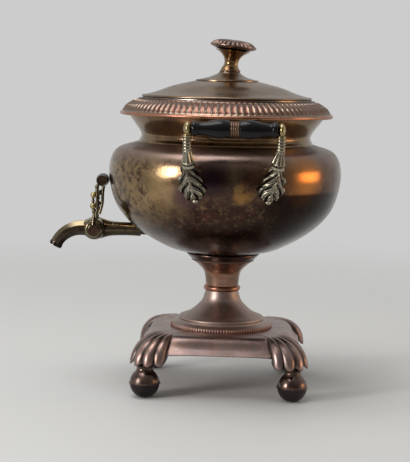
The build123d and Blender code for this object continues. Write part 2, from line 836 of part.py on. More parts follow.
# Clasp washer and screw, inside the bowl
washer_back = sheet + washer_height + 0.6
clasp_turn = stud_turn - 90
with BuildPart() as clasp_washer:
    with BuildSketch(stud_plane(clasp_turn, washer_back)):
        Circle(washer_radius)
        Circle(stud_radius + solder_gap, mode=Mode.SUBTRACT)
    extrude(amount=washer_back - 0.95 * sheet)
    add(bowl_sheet.part, mode=Mode.SUBTRACT)
with BuildPart() as clasp_screw:
    with BuildSketch(stud_plane(clasp_turn, washer_back)):
        Circle(stud_head_radius)
    extrude(amount=-stud_head_height)
    with BuildSketch(stud_plane(clasp_turn, washer_back)):
        Circle(stud_radius)
    extrude(amount=washer_back + stud_bite)

# Tap body: a barrel across the tap, a tube that flares to it and a spigot through the wall
plug_axis = Axis((plug_x, 0, tap_z), (0, -1, 0))
plug_bore_near = plug_radius_near + running_gap
plug_bore_far = plug_radius_far + running_gap
with BuildPart() as plug_space:
    with BuildSketch(Plane(origin=(plug_x, -2 * barrel_half_length, tap_z), z_dir=(0, 1, 0))):
        Circle(1.5 * plug_bore_near - 0.5 * plug_bore_far)
    with BuildSketch(Plane(origin=(plug_x, 2 * barrel_half_length, tap_z), z_dir=(0, 1, 0))):
        Circle(1.5 * plug_bore_far - 0.5 * plug_bore_near)
    loft()
barrel_plane = Plane(origin=(plug_x, 0, tap_z), x_dir=(0, 1, 0), z_dir=(1, 0, 0))
with BuildPart() as barrel_blank:
    with BuildSketch(barrel_plane):
        with BuildLine():
            barrel_side = ThreePointArc(
                (-barrel_half_length, 0.88 * barrel_radius),
                (0, barrel_radius),
                (barrel_half_length, 0.88 * barrel_radius),
            )
            Polyline(barrel_side @ 1, (barrel_half_length, 0), (-barrel_half_length, 0), barrel_side @ 0)
        make_face()
    revolve(axis=plug_axis)
wall_x = -0.72 * bowl_radius
spigot_end_x = -0.63 * bowl_radius
with BuildPart() as tap_body:
    add(barrel_blank.part)
    with BuildSketch(Plane(origin=(plug_x, 0, tap_z), z_dir=(1, 0, 0))):
        Circle(0.84 * barrel_radius)
    with BuildSketch(Plane(origin=(plug_x + 1.4 * barrel_radius, 0, tap_z), z_dir=(1, 0, 0))):
        Circle(1.06 * tap_tube_radius)
    with BuildSketch(Plane(origin=(wall_x, 0, tap_z), z_dir=(1, 0, 0))):
        Circle(tap_tube_radius)
    loft(ruled=False)
    add(bowl_filling.part, mode=Mode.SUBTRACT)
    with BuildSketch(Plane(origin=(spigot_end_x, 0, tap_z), z_dir=(-1, 0, 0))):
        Circle(spigot_radius)
    extrude(amount=spigot_end_x - plug_x - barrel_radius)
    with BuildSketch(Plane(origin=(spigot_end_x + 1, 0, tap_z), z_dir=(-1, 0, 0))):
        Circle(tap_bore)
    extrude(amount=spigot_end_x + 1 - plug_x, mode=Mode.SUBTRACT)
    with BuildSketch(Plane(origin=(plug_x, 0, tap_z), z_dir=(-1, 0, 0))):
        Circle(tap_bore)
    extrude(amount=2 * barrel_radius, mode=Mode.SUBTRACT)
    add(plug_space.part, mode=Mode.SUBTRACT)

# Spout: an eight-sided tube that bends down to an open mouth
bend_x = plug_x - 1.1 * barrel_radius
spout_steps = 5


def spout_plane(share):
    turn = math.radians(spout_turn) * share
    centre = Vector(
        bend_x - spout_bend * math.sin(turn),
        0,
        tap_z - spout_bend * (1 - math.cos(turn)),
    )
    return Plane(
        origin=centre,
        x_dir=(0, 1, 0),
        z_dir=(-math.cos(turn), 0, -math.sin(turn)),
    )


with BuildPart() as spout:
    for step in range(spout_steps):
        share = step / (spout_steps - 1)
        across = spout_across + (spout_tip_across - spout_across) * share
        with BuildSketch(spout_plane(share)):
            RegularPolygon(across / 2, 8, major_radius=False, rotation=22.5)
    loft()
    with BuildSketch(spout_plane(0)):
        RegularPolygon(spout_across / 2, 8, major_radius=False, rotation=22.5)
    extrude(amount=-0.8 * barrel_radius)
    with BuildSketch(spout_plane(1)):
        Circle(0.5 * spout_tip_across + 0.3)
    extrude(amount=spout_tip_length)
    add(barrel_blank.part, mode=Mode.SUBTRACT)
    for step in range(spout_steps):
        with BuildSketch(spout_plane(step / (spout_steps - 1))):
            Circle(tap_bore)
    loft(mode=Mode.SUBTRACT)
    with BuildSketch(spout_plane(0)):
        Circle(tap_bore)
    extrude(amount=-barrel_radius, mode=Mode.SUBTRACT)
    with BuildSketch(spout_plane(1)):
        Circle(tap_bore)
    extrude(amount=2 * spout_tip_length, mode=Mode.SUBTRACT)

# Strainer on the inner end of the spigot
with BuildPart() as strainer:
    with BuildSketch(Plane(origin=(spigot_end_x, 0, tap_z), z_dir=(1, 0, 0))):
        Circle(spigot_radius)
        with PolarLocations(0.5 * tap_bore + 0.3, 6):
            Circle(0.8, mode=Mode.SUBTRACT)
        Circle(0.8, mode=Mode.SUBTRACT)
    extrude(amount=0.8)

# Tap plug: a tapered cock with a cross bore that stands upright when the tap is shut
arm_face = barrel_half_length + key_arm_gap
arm_back = arm_face + key_arm_thickness
tail_radius = 0.55 * plug_radius_far
screw_depth = arm_back - tap_bore - 3.4
plug_taper = (plug_radius_near - plug_radius_far) / (2 * barrel_half_length)
with BuildPart() as tap_plug:
    with BuildSketch(Plane(origin=(plug_x, -arm_face, tap_z), z_dir=(0, 1, 0))):
        Circle(plug_radius_near + plug_taper * key_arm_gap)
    with BuildSketch(Plane(origin=(plug_x, arm_face, tap_z), z_dir=(0, 1, 0))):
        Circle(plug_radius_far - plug_taper * key_arm_gap)
    loft()
    with BuildSketch(Plane(origin=(plug_x, 0, tap_z), z_dir=(0, 1, 0))):
        Circle(tail_radius)
    extrude(amount=arm_back - 0.2, both=True)
    with BuildSketch(Plane(origin=(plug_x, 0, tap_z), z_dir=(0, 0, 1))):
        Circle(tap_bore)
    extrude(amount=2 * plug_radius_near, both=True, mode=Mode.SUBTRACT)
    for side_sign in (-1, 1):
        with BuildSketch(Plane(origin=(plug_x, side_sign * arm_back, tap_z), z_dir=(0, -side_sign, 0))):
            Circle(key_screw_radius + solder_gap)
        extrude(amount=screw_depth + 0.4, mode=Mode.SUBTRACT)

# Screws that hold the key's arms to the plug, one at each end
with BuildPart() as key_screws:
    for side_sign in (-1, 1):
        with BuildSketch(Plane(origin=(plug_x, side_sign * arm_back, tap_z), z_dir=(0, side_sign, 0))):
            Circle(key_head_radius)
        extrude(amount=key_head_height)
        with BuildSketch(Plane(origin=(plug_x, side_sign * arm_back, tap_z), z_dir=(0, -side_sign, 0))):
            Circle(key_screw_radius)
        extrude(amount=screw_depth)

# Key arm, near side: a ring on the plug's end, a strip, a stem up to the grip and a beaded strand
key_top_z = tap_z + key_grip_rise
key_top_x = plug_x + key_grip_lean
arm_mid = arm_face + key_arm_thickness / 2
pad_x = key_top_x - 3.4
bead_line = [
    (plug_x - 0.5, tap_z + 20.8, 2.5),
    (plug_x - 0.8, tap_z + 26.0, 3.2),
    (plug_x - 0.6, tap_z + 37.8, 3.0),
]
with BuildPart() as key_arm:
    with BuildSketch(Plane(origin=(plug_x, -arm_face, tap_z), x_dir=(1, 0, 0), z_dir=(0, -1, 0))):
        Circle(key_ring_radius)
        Trapezoid(5.0, 18.0, 85, align=(Align.CENTER, Align.MIN))
        Circle(tail_radius + solder_gap, mode=Mode.SUBTRACT)
    extrude(amount=key_arm_thickness)
    with BuildLine():
        stem_path = Spline(
            (plug_x + 0.4, -arm_mid, tap_z + 14.0),
            (plug_x + 3.6, -arm_mid, tap_z + 0.55 * key_grip_rise),
            (pad_x, -arm_mid, key_top_z - 5.0),
        )
    with BuildSketch(Plane(origin=stem_path @ 0, z_dir=stem_path % 0)):
        Circle(1.45)
    sweep(path=stem_path)
    with BuildLine():
        strand_path = Spline(
            (plug_x + 0.2, -arm_mid, tap_z + 15.0),
            (plug_x - 1.0, -arm_mid, tap_z + 30.0),
            (plug_x + 0.2, -arm_mid, tap_z + 39.0),
            (plug_x + 5.0, -arm_mid, tap_z + 40.5),
        )
    with BuildSketch(Plane(origin=strand_path @ 0, z_dir=strand_path % 0)):
        Circle(1.2)
    sweep(path=strand_path)
    for x, z, radius in bead_line:
        with Locations((x, -arm_mid, z)):
            Sphere(radius)
    with BuildSketch(Plane(origin=(pad_x, -arm_face, key_top_z - 2.0), x_dir=(1, 0, 0), z_dir=(0, -1, 0))):
        Ellipse(2.2, 4.2)
    extrude(amount=key_arm_thickness)

# Key grip: a turned ovoid across the top of the two arms
with BuildPart() as key_grip:
    with BuildSketch(Plane(origin=(key_top_x, 0, key_top_z), x_dir=(0, 1, 0), z_dir=(1, 0, 0))):
        with BuildLine():
            ovoid = Spline(
                (-arm_face, 0.8 * key_grip_radius),
                (0, key_grip_radius),
                (arm_face, 0.8 * key_grip_radius),
                tangents=[(1, 0.5), (1, -0.5)],
            )
            Polyline(ovoid @ 1, (arm_face, 0), (-arm_face, 0), ovoid @ 0)
        make_face()
    revolve(axis=Axis((key_top_x, 0, key_top_z), (0, 1, 0)))

# Finished pieces. The back handle and the far key arm are the front and near ones turned round.
front_spin = Rot(0, 0, handle_turn)
back_spin = Rot(0, 0, handle_turn + 180)
key_axis = Axis((plug_x, 0, tap_z), (key_grip_lean, 0, key_grip_rise))
finish(bowl.part, "bowl")
finish(neck.part, "neck")
finish(rim_wire.part, "rim_wire")
finish(border.part, "rim_border")
finish(border_filling.part, "border_filling")
finish(collar.part, "mouth_collar")
finish(lid_dome.part, "lid_dome")
finish(lid_bezel.part, "lid_bezel")
finish(knob_base.part, "knob_base")
finish(knob_stem, "knob_stem")
finish(knob_cap, "knob_cap")
finish(knob_nut.part, "knob_nut")
finish(pedestal_cup.part, "pedestal_cup")
finish(knop_ring.part, "knop_ring")
finish(pedestal_skirt.part, "pedestal_skirt")
finish(reeded_band.part, "reeded_band")
finish(base_plate.part, "base_plate")
corners = [("back_right", 0), ("back_left", 90), ("front_left", 180), ("front_right", 270)]
for place, turn in corners:
    finish(Rot(0, 0, turn) * corner_shell.part, f"corner_shell_{place}")
    foot_place = Rot(0, 0, turn) * Pos(foot_offset, foot_offset, 0)
    finish(foot_place * foot_upper.part, f"foot_upper_{place}")
    finish(foot_place * foot_lower.part, f"foot_lower_{place}")
finish(heater_tube.part, "heater_tube")
finish(heater_iron.part, "heater_iron")
finish(heater_eye.part, "heater_eye")
finish(heater_cover.part, "heater_cover")
left_of = Plane.YZ
for place, spin in [("front", front_spin), ("back", back_spin)]:
    finish(spin * clasp.part, f"handle_{place}_clasp_right")
    finish(spin * clasp.part.mirror(left_of), f"handle_{place}_clasp_left")
    finish(spin * grip.part, f"handle_{place}_grip_right")
    finish(spin * grip.part.mirror(left_of), f"handle_{place}_grip_left")
    finish(spin * grip_ring.part, f"handle_{place}_ring")
    finish(spin * grip_rod.part, f"handle_{place}_rod")
washers = []
screws = []
for spin in (front_spin, back_spin):
    washers += [spin * clasp_washer.part, spin * clasp_washer.part.mirror(left_of)]
    screws += [spin * clasp_screw.part, spin * clasp_screw.part.mirror(left_of)]
finish(Compound(children=washers), "clasp_washers")
finish(Compound(children=screws), "clasp_screws")
finish(tap_body.part, "tap_body")
finish(spout.part, "tap_spout")
finish(strainer.part, "tap_strainer")
finish(tap_plug.part, "tap_plug")
finish(key_arm.part, "key_arm_near")
finish(key_arm.part.rotate(key_axis, 180), "key_arm_far")
finish(key_grip.part, "key_grip")
finish(key_screws.part, "key_screws")
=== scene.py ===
import json
import math

import bpy
import bmesh
from mathutils import Matrix, Vector


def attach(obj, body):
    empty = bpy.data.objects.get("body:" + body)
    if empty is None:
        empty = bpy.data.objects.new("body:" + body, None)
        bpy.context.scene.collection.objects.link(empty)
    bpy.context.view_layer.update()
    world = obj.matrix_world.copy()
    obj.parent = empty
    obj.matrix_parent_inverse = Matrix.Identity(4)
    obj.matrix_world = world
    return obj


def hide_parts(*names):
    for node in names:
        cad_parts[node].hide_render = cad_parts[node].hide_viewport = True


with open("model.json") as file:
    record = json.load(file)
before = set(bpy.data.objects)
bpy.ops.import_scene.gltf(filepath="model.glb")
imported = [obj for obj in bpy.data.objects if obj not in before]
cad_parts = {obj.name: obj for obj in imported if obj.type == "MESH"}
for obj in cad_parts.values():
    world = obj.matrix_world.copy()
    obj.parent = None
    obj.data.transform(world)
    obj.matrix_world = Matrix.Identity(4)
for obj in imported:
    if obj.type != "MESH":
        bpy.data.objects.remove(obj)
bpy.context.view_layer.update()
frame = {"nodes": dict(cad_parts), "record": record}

# Shapes are written in mm and made in m
MM = 0.001

# Camera: the photograph's viewpoint, in metres, degrees and the photo's pixels
FOCAL_PIXELS = 1475.0
PHOTO_HEIGHT = 462
SENSOR_WIDTH = 36.0
CAMERA_DISTANCE = 1.622
CAMERA_HEIGHT = 0.350
CAMERA_PITCH = 6.3
CAMERA_YAW = 0.72
CAMERA_ROLL = 1.4
CAMERA_AZIMUTH = 1.0

# Room and floor, in metres; the floor fades out between FLOOR_NEAR and FLOOR_FAR from the urn
ROOM_PALE = (0.60, 0.605, 0.60)
ROOM_DIM = (0.12, 0.10, 0.09)
FLOOR_GREY = (0.60, 0.60, 0.585)
FLOOR_ROUGH = 0.6
FLOOR_HALF = 6.0
FLOOR_NEAR = 0.35
FLOOR_FAR = 1.5


def make_camera():
    """The photograph's camera. The sensor's width spans the picture's longer side, which is its height."""
    camera = bpy.data.cameras.new("camera")
    camera.sensor_width = SENSOR_WIDTH
    camera.lens = SENSOR_WIDTH * FOCAL_PIXELS / PHOTO_HEIGHT
    obj = bpy.data.objects.new("camera", camera)
    bpy.context.scene.collection.objects.link(obj)
    turn = Matrix.Rotation(math.radians(CAMERA_AZIMUTH), 4, "Z")
    place = Matrix.Translation((0, -CAMERA_DISTANCE, CAMERA_HEIGHT))
    yaw = Matrix.Rotation(math.radians(CAMERA_YAW), 4, "Z")
    pitch = Matrix.Rotation(math.radians(90 - CAMERA_PITCH), 4, "X")
    roll = Matrix.Rotation(math.radians(CAMERA_ROLL), 4, "Z")
    obj.matrix_world = turn @ place @ yaw @ pitch @ roll
    bpy.context.scene.camera = obj


def area_light(name, place, size, power, colour=(1.0, 1.0, 1.0), target=(0, 0, 0.2)):
    light = bpy.data.lights.new(name, "AREA")
    light.shape = "RECTANGLE"
    light.size, light.size_y = size
    light.energy = power
    light.color = colour
    obj = bpy.data.objects.new(name, light)
    bpy.context.scene.collection.objects.link(obj)
    obj.location = place
    obj.rotation_euler = (Vector(target) - Vector(place)).to_track_quat("-Z", "Y").to_euler()


class Nodes:
    """Short names for the shader nodes of a world or a material."""

    def __init__(self, owner, coords="Object"):
        owner.use_nodes = True
        self.tree = owner.node_tree
        self.place = self.add("TexCoord").outputs[coords]

    def add(self, kind, inputs=None, vector=None):
        node = self.tree.nodes.new("ShaderNode" + kind)
        for name, value in (inputs or {}).items():
            node.inputs[name].default_value = value
        if vector is not None:
            self.link(vector, node.inputs["Vector"])
        return node

    def link(self, source, target):
        self.tree.links.new(source, target)

    def axis(self, letter, vector=None):
        """One coordinate of the place, or of another vector."""
        return self.add("SeparateXYZ", vector=self.place if vector is None else vector).outputs[letter]

    def noise(self, scale, detail, rough, stretch=None):
        place = self.place
        if stretch:
            place = self.add("Mapping", {"Scale": stretch}, place).outputs["Vector"]
        node = self.add("TexNoise", {"Scale": scale, "Detail": detail, "Roughness": rough}, place)
        return node.outputs["Fac"]

    def ramp(self, source, low, high, out_low=0.0, out_high=1.0):
        node = self.add("MapRange", {"From Min": low, "From Max": high, "To Min": out_low, "To Max": out_high})
        self.link(source, node.inputs["Value"])
        return node.outputs["Result"]

    def maths(self, kind, first, second):
        node = self.add("Math")
        node.operation = kind
        for socket, value in zip(node.inputs, (first, second)):
            if isinstance(value, float):
                socket.default_value = value
            else:
                self.link(value, socket)
        return node.outputs["Value"]

    def mix(self, share, first, second, strength=1.0):
        """The first colour where the share is 0, the second where it is 1; strength lowers the share."""
        if strength < 1.0:
            share = self.maths("MULTIPLY", share, strength)
        node = self.add("Mix")
        node.data_type = "RGBA"
        self.link(share, node.inputs["Factor"])
        for key, value in (("A", first), ("B", second)):
            socket = [s for s in node.inputs if s.name == key and s.type == "RGBA"][0]
            if isinstance(value, tuple):
                socket.default_value = (*value, 1)
            else:
                self.link(value, socket)
        return [s for s in node.outputs if s.type == "RGBA"][0]

    def distance(self, point):
        node = self.add("VectorMath")
        node.operation = "DISTANCE"
        self.link(self.place, node.inputs[0])
        node.inputs[1].default_value = point
        return node.outputs["Value"]

    def near(self, point, inner, outer, wander=0.0):
        """1 close to a point, 0 beyond the outer distance, with an edge as ragged as wander says."""
        ragged = self.maths("MULTIPLY", self.noise(60.0, 8.0, 0.7), wander)
        reach = self.maths("ADD", self.distance(point), ragged)
        return self.ramp(reach, inner + wander / 2, outer + wander / 2, 1.0, 0.0)

    def facing_up(self):
        return self.axis("Z", self.add("NewGeometry").outputs["Normal"])

    def pointiness(self):
        return self.add("NewGeometry").outputs["Pointiness"]

    def groove(self):
        """How deep in a groove a point lies, from the mesh's own marks."""
        node = self.add("Attribute")
        node.attribute_name = "groove"
        return node.outputs["Fac"]


class Paint(Nodes):
    """A new material and its principled shader."""

    def __init__(self, name):
        self.name = name
        self.material = bpy.data.materials.new(name)
        super().__init__(self.material)
        self.shader = self.tree.nodes["Principled BSDF"]

    def finish(self, colour, rough, bump=None, bump_depth=0.0, metal=1.0):
        """Link what was mixed to the shader and keep the material under its name."""
        self.link(colour, self.shader.inputs["Base Color"])
        self.link(rough, self.shader.inputs["Roughness"])
        self.shader.inputs["Metallic"].default_value = metal
        if bump is not None:
            node = self.add("Bump", {"Distance": bump_depth, "Strength": 1.0})
            self.link(bump, node.inputs["Height"])
            self.link(node.outputs["Normal"], self.shader.inputs["Normal"])
        MATERIALS[self.name] = self.material

    def finish_fine(self, colour, rough, bump_depth=0.00005):
        """Finish with the fine unevenness that most pieces share."""
        self.finish(colour, rough, self.noise(500.0, 3.0, 0.6), bump_depth)


def make_world():
    """A pale room behind and above the urn and a dim, warm one behind the camera, for the metal to reflect."""
    world = bpy.data.worlds.new("studio")
    bpy.context.scene.world = world
    n = Nodes(world, "Generated")
    behind = n.ramp(n.axis("Y"), -0.75, 0.15)
    above = n.ramp(n.axis("Z"), 0.25, 0.75, 0.0, 0.40)
    room = n.mix(n.maths("MAXIMUM", behind, above), ROOM_DIM, ROOM_PALE)
    seen = n.mix(n.add("LightPath").outputs["Is Camera Ray"], room, ROOM_PALE)
    background = n.tree.nodes["Background"]
    n.link(seen, background.inputs["Color"])
    background.inputs["Strength"].default_value = 1.0


def make_stage():
    """A wide pale floor that fades into the pale background away from the urn."""
    mesh = bpy.data.meshes.new("floor")
    corners = [(-1, -1), (1, -1), (1, 1), (-1, 1)]
    mesh.from_pydata([(FLOOR_HALF * x, FLOOR_HALF * y, 0) for x, y in corners], [], [(0, 1, 2, 3)])
    floor = bpy.data.objects.new("floor", mesh)
    bpy.context.scene.collection.objects.link(floor)
    n = Paint("pale_floor")
    n.shader.inputs["Base Color"].default_value = (*FLOOR_GREY, 1)
    n.shader.inputs["Roughness"].default_value = FLOOR_ROUGH
    fade = n.ramp(n.distance((0, 0, 0)), FLOOR_NEAR, FLOOR_FAR)
    fade.node.interpolation_type = "SMOOTHSTEP"
    blend = n.add("MixShader")
    n.link(fade, blend.inputs["Fac"])
    n.link(n.shader.outputs["BSDF"], blend.inputs[1])
    n.link(n.add("BsdfTransparent").outputs["BSDF"], blend.inputs[2])
    n.link(blend.outputs["Shader"], n.tree.nodes["Material Output"].inputs["Surface"])
    mesh.materials.append(n.material)


# Materials by name. The first ones take the names of the record's slots: three tones, and for
# aged_brass also the spots' tone, the least and most roughness, the grime and the dark of hollows.
MATERIALS = {}
SLOT_METALS = {
    "worn_plate": ((0.42, 0.26, 0.15), (0.27, 0.15, 0.09), (0.10, 0.05, 0.035)),
    "bare_copper": ((0.52, 0.25, 0.15), (0.36, 0.17, 0.11), (0.14, 0.06, 0.045)),
    "aged_brass": ((0.36, 0.31, 0.20), (0.24, 0.20, 0.12), (0.05, 0.04, 0.028),
                   (0.022, 0.018, 0.013), (0.2, 0.36), 0.55, 0.95),
    "dull_tin": ((0.40, 0.39, 0.37), (0.33, 0.32, 0.30), (0.2, 0.19, 0.18)),
    # dark_patina is near black: the lower balls' patina darkened further as painted reflection of a dark table,
    # and painted shade on the spout's lip.
    "dark_patina": ((0.055, 0.045, 0.045), (0.032, 0.027, 0.028), (0.014, 0.011, 0.011)),
    "black_iron": ((0.07, 0.065, 0.06), (0.05, 0.045, 0.042), (0.02, 0.02, 0.02)),
}

# Four tones, the clouds' scale, and the least and most roughness
PLAIN_METALS = {
    "neck_patina": ([(0.185, 0.12, 0.068), (0.26, 0.17, 0.085), (0.105, 0.062, 0.042), (0.085, 0.045, 0.034)],
                    12.0, (0.12, 0.26)),
    "lid_patina": ([(0.25, 0.17, 0.105), (0.24, 0.175, 0.13), (0.17, 0.12, 0.085), (0.27, 0.16, 0.10)],
                   9.0, (0.22, 0.38)),
    "skirt_patina": ([(0.40, 0.31, 0.275), (0.44, 0.33, 0.28), (0.31, 0.235, 0.21), (0.32, 0.21, 0.17)],
                     14.0, (0.38, 0.52)),
    # The collar's near-black tone is painted shade of the gap under the lid's edge; the tap's key screws take
    # the same dark tone as their own.
    "dark_bronze_and_gap_shade": ([(0.10, 0.06, 0.045), (0.13, 0.06, 0.045), (0.05, 0.03, 0.025), (0.07, 0.04, 0.03)],
                    30.0, (0.3, 0.5)),
    "knob_brass": ([(0.34, 0.21, 0.10), (0.40, 0.26, 0.12), (0.17, 0.10, 0.06), (0.24, 0.13, 0.08)],
                   30.0, (0.16, 0.3)),
    "foot_copper": ([(0.13, 0.09, 0.078), (0.18, 0.115, 0.092), (0.06, 0.05, 0.05), (0.085, 0.06, 0.054)],
                    30.0, (0.2, 0.34)),
    "ring_brass": ([(0.21, 0.13, 0.09), (0.25, 0.16, 0.11), (0.12, 0.075, 0.055), (0.15, 0.09, 0.065)],
                   40.0, (0.32, 0.46)),
}

# Four tones, the tone of the grooves and its depth, and the least and most roughness
MARKED_METALS = {
    "border_patina": ([(0.30, 0.25, 0.19), (0.27, 0.20, 0.15), (0.22, 0.18, 0.14), (0.28, 0.18, 0.13)],
                      (0.16, 0.052, 0.036), 0.92, (0.2, 0.36)),
    "base_copper": ([(0.35, 0.255, 0.235), (0.38, 0.25, 0.21), (0.27, 0.215, 0.21), (0.29, 0.165, 0.13)],
                    (0.020, 0.025, 0.026), 0.97, (0.3, 0.46)),
    "band_copper": ([(0.44, 0.31, 0.27), (0.47, 0.28, 0.22), (0.34, 0.24, 0.22), (0.38, 0.19, 0.14)],
                    (0.045, 0.020, 0.015), 0.96, (0.34, 0.48)),
}

# Patches on the bowl: centre in m, inner and outer distance, raggedness, tone
BOWL_PATCHES = [
    ((0.019, -0.123, 0.231), 0.003, 0.010, 0.030, (0.29, 0.165, 0.06)),
    ((0.022, -0.122, 0.219), 0.003, 0.010, 0.030, (0.29, 0.155, 0.055)),
    ((0.012, -0.126, 0.241), 0.000, 0.014, 0.026, (0.30, 0.22, 0.13)),
    ((-0.010, -0.124, 0.238), 0.006, 0.024, 0.020, (0.045, 0.027, 0.034)),
    ((-0.038, -0.118, 0.222), 0.000, 0.020, 0.030, (0.085, 0.045, 0.052)),
    # The last patch, bright orange on the right, is a painted reflection of a warm room.
    ((0.085, -0.092, 0.236), 0.008, 0.032, 0.010, (0.46, 0.19, 0.06)),
]
PIT_TONE = (0.03, 0.02, 0.015)


def metal_patina(name, bright, mid, dark, spots=(0.05, 0.03, 0.02), rough=(0.22, 0.42), grime=0.5, hollow=0.0):
    """Old metal: cloudy tarnish between three tones, with pitted spots and, where asked, dark hollows."""
    n = Paint(name)
    colour = n.mix(n.ramp(n.noise(14.0, 6.0, 0.6), 0.38, 0.62), mid, bright)
    colour = n.mix(n.ramp(n.noise(46.0, 8.0, 0.65), 0.45, 0.68), colour, dark, grime)
    colour = n.mix(n.ramp(n.noise(240.0, 5.0, 0.7), 0.60, 0.70), colour, spots, 0.7)
    if hollow:
        colour = n.mix(n.ramp(n.pointiness(), 0.455, 0.51, hollow, 0.0), colour, spots)
    shine = n.ramp(n.noise(30.0, 6.0, 0.6), 0.35, 0.7, *rough)
    n.finish(colour, shine, n.noise(300.0, 4.0, 0.6), 0.00006)


def glossy_wood(name, tone, darker, rough):
    n = Paint(name)
    colour = n.mix(n.ramp(n.noise(60.0, 5.0, 0.6, (1.0, 6.0, 6.0)), 0.35, 0.65), tone, darker)
    shine = n.ramp(n.noise(80.0, 4.0, 0.6), 0.3, 0.7, rough, rough + 0.12)
    n.shader.inputs["Specular IOR Level"].default_value = 0.25
    n.finish(colour, shine, metal=0.0)


def layered(name, tones, scale, rough, pit_share=0.4):
    """Tarnished metal in four tones, mixed by clouds of three sizes, with pits."""
    n = Paint(name)
    colour = n.mix(n.ramp(n.noise(scale, 7.0, 0.62), 0.40, 0.60), tones[0], tones[1])
    colour = n.mix(n.ramp(n.noise(scale * 2.7, 8.0, 0.66), 0.46, 0.62), colour, tones[2], 0.75)
    colour = n.mix(n.ramp(n.noise(scale * 7.0, 8.0, 0.7), 0.50, 0.66), colour, tones[3], 0.6)
    pits = n.ramp(n.noise(420.0, 4.0, 0.7), 0.66 - 0.12 * pit_share, 0.72)
    colour = n.mix(pits, colour, PIT_TONE, pit_share)
    shine = n.ramp(n.noise(scale * 2.0, 7.0, 0.65), 0.35, 0.68, *rough)
    return n, colour, shine


def plain_metal(name, tones, scale, rough):
    n, colour, shine = layered(name, tones, scale, rough)
    n.finish_fine(colour, shine)


def marked_metal(name, tones, hollow, depth, rough):
    """Metal whose marked grooves keep the darker tone."""
    n, colour, shine = layered(name, tones, 22.0, rough)
    uneven = n.ramp(n.noise(120.0, 5.0, 0.6), 0.3, 0.7, 0.75 * depth, depth)
    colour = n.mix(n.maths("MULTIPLY", n.groove(), uneven), colour, hollow)
    n.finish_fine(colour, shine)


def bowl_material():
    """Fused plate worn to a brown and purple patina, pitted gold on the tap side, with painted reflections: dark
    below and in a band low on the right for a dark table, orange on the right for a warm room.
    """
    tones = [(0.17, 0.105, 0.075), (0.25, 0.16, 0.085), (0.07, 0.040, 0.040), (0.11, 0.060, 0.050)]
    n, colour, shine = layered("bowl_patina", tones, 11.0, (0.12, 0.28), 0.8)
    gold = n.ramp(n.noise(22.0, 9.0, 0.75), 0.52, 0.60)
    colour = n.mix(gold, colour, (0.36, 0.24, 0.11), 0.45)
    wander = n.maths("MULTIPLY", n.noise(14.0, 6.0, 0.65), 0.10)
    tap_side = n.ramp(n.maths("ADD", n.axis("X"), wander), 0.020, -0.030)
    colour = n.mix(tap_side, colour, (0.38, 0.265, 0.135), 0.65)
    scab = n.ramp(n.noise(120.0, 12.0, 0.9), 0.505, 0.525)
    patch = n.ramp(n.noise(14.0, 5.0, 0.65), 0.38, 0.50)
    scab = n.maths("MULTIPLY", n.maths("MULTIPLY", scab, patch), tap_side)
    colour = n.mix(scab, colour, (0.045, 0.028, 0.022), 0.95)
    shoulder = n.ramp(n.axis("Z"), 0.247, 0.260)
    colour = n.mix(shoulder, colour, (0.24, 0.175, 0.155), 0.8)
    shine = n.maths("ADD", shine, n.maths("MULTIPLY", shoulder, 0.20))
    # Painted reflection: the bowl darkens below a ragged line, lower on the tap side, standing for a dark table
    # reflected in its lower half.
    edge = n.maths("ADD", n.axis("Z"), n.maths("MULTIPLY", n.noise(26.0, 7.0, 0.7), 0.07))
    edge = n.maths("ADD", edge, n.maths("MULTIPLY", tap_side, 0.035))
    dark_table_reflection = n.ramp(edge, 0.240, 0.284, 1.0, 0.0)
    colour = n.mix(dark_table_reflection, colour, (0.027, 0.015, 0.014), 0.90)
    flecks = n.ramp(n.noise(130.0, 12.0, 0.9), 0.535, 0.56)
    colour = n.mix(flecks, colour, (0.20, 0.125, 0.07), 0.75)
    rust = n.ramp(n.noise(48.0, 8.0, 0.8), 0.57, 0.63)
    colour = n.mix(rust, colour, (0.13, 0.045, 0.03), 0.5)
    # Patches of wear and tarnish; the last, orange one is a painted reflection.
    for centre, inner, outer, ragged, tone in BOWL_PATCHES:
        colour = n.mix(n.near(centre, inner, outer, ragged), colour, tone)
    # Painted reflection: a dark band, with sharper gloss, low on the bowl's right front, standing for the edge
    # of a dark table.
    right = n.ramp(n.axis("X"), 0.030, 0.060)
    below = n.ramp(n.axis("Z"), 0.2235, 0.2205)
    front = n.ramp(n.axis("Y"), -0.015, -0.055)
    dark_band_reflection = n.maths("MULTIPLY", n.maths("MULTIPLY", right, below), n.maths("MULTIPLY", front, 0.88))
    colour = n.mix(dark_band_reflection, colour, (0.014, 0.009, 0.008))
    shine = n.maths("SUBTRACT", shine, n.maths("MULTIPLY", dark_band_reflection, 0.09))
    n.finish(colour, shine, n.noise(330.0, 6.0, 0.7), 0.00012)


def cup_material():
    """The cup under the bowl: rubbed copper, darker round its rim."""
    tones = [(0.29, 0.18, 0.13), (0.33, 0.18, 0.12), (0.15, 0.10, 0.08), (0.24, 0.11, 0.075)]
    n, colour, shine = layered("pedestal_patina", tones, 18.0, (0.2, 0.36))
    rim = n.ramp(n.axis("Z"), 0.1375, 0.1405)
    n.finish_fine(n.mix(rim, colour, (0.05, 0.032, 0.027), 0.86), shine)


def knob_material():
    """The knob's cap: rubbed bright on its ridges and dark in its grooves."""
    tones = [(0.18, 0.115, 0.095), (0.22, 0.135, 0.11), (0.12, 0.085, 0.075), (0.18, 0.085, 0.065)]
    n, colour, shine = layered("knob_copper", tones, 22.0, (0.2, 0.36))
    colour = n.mix(n.ramp(n.pointiness(), 0.515, 0.56, 0.0, 0.8), colour, (0.27, 0.19, 0.16))
    colour = n.mix(n.ramp(n.pointiness(), 0.44, 0.495, 0.92, 0.0), colour, (0.035, 0.022, 0.018))
    n.finish_fine(colour, shine)


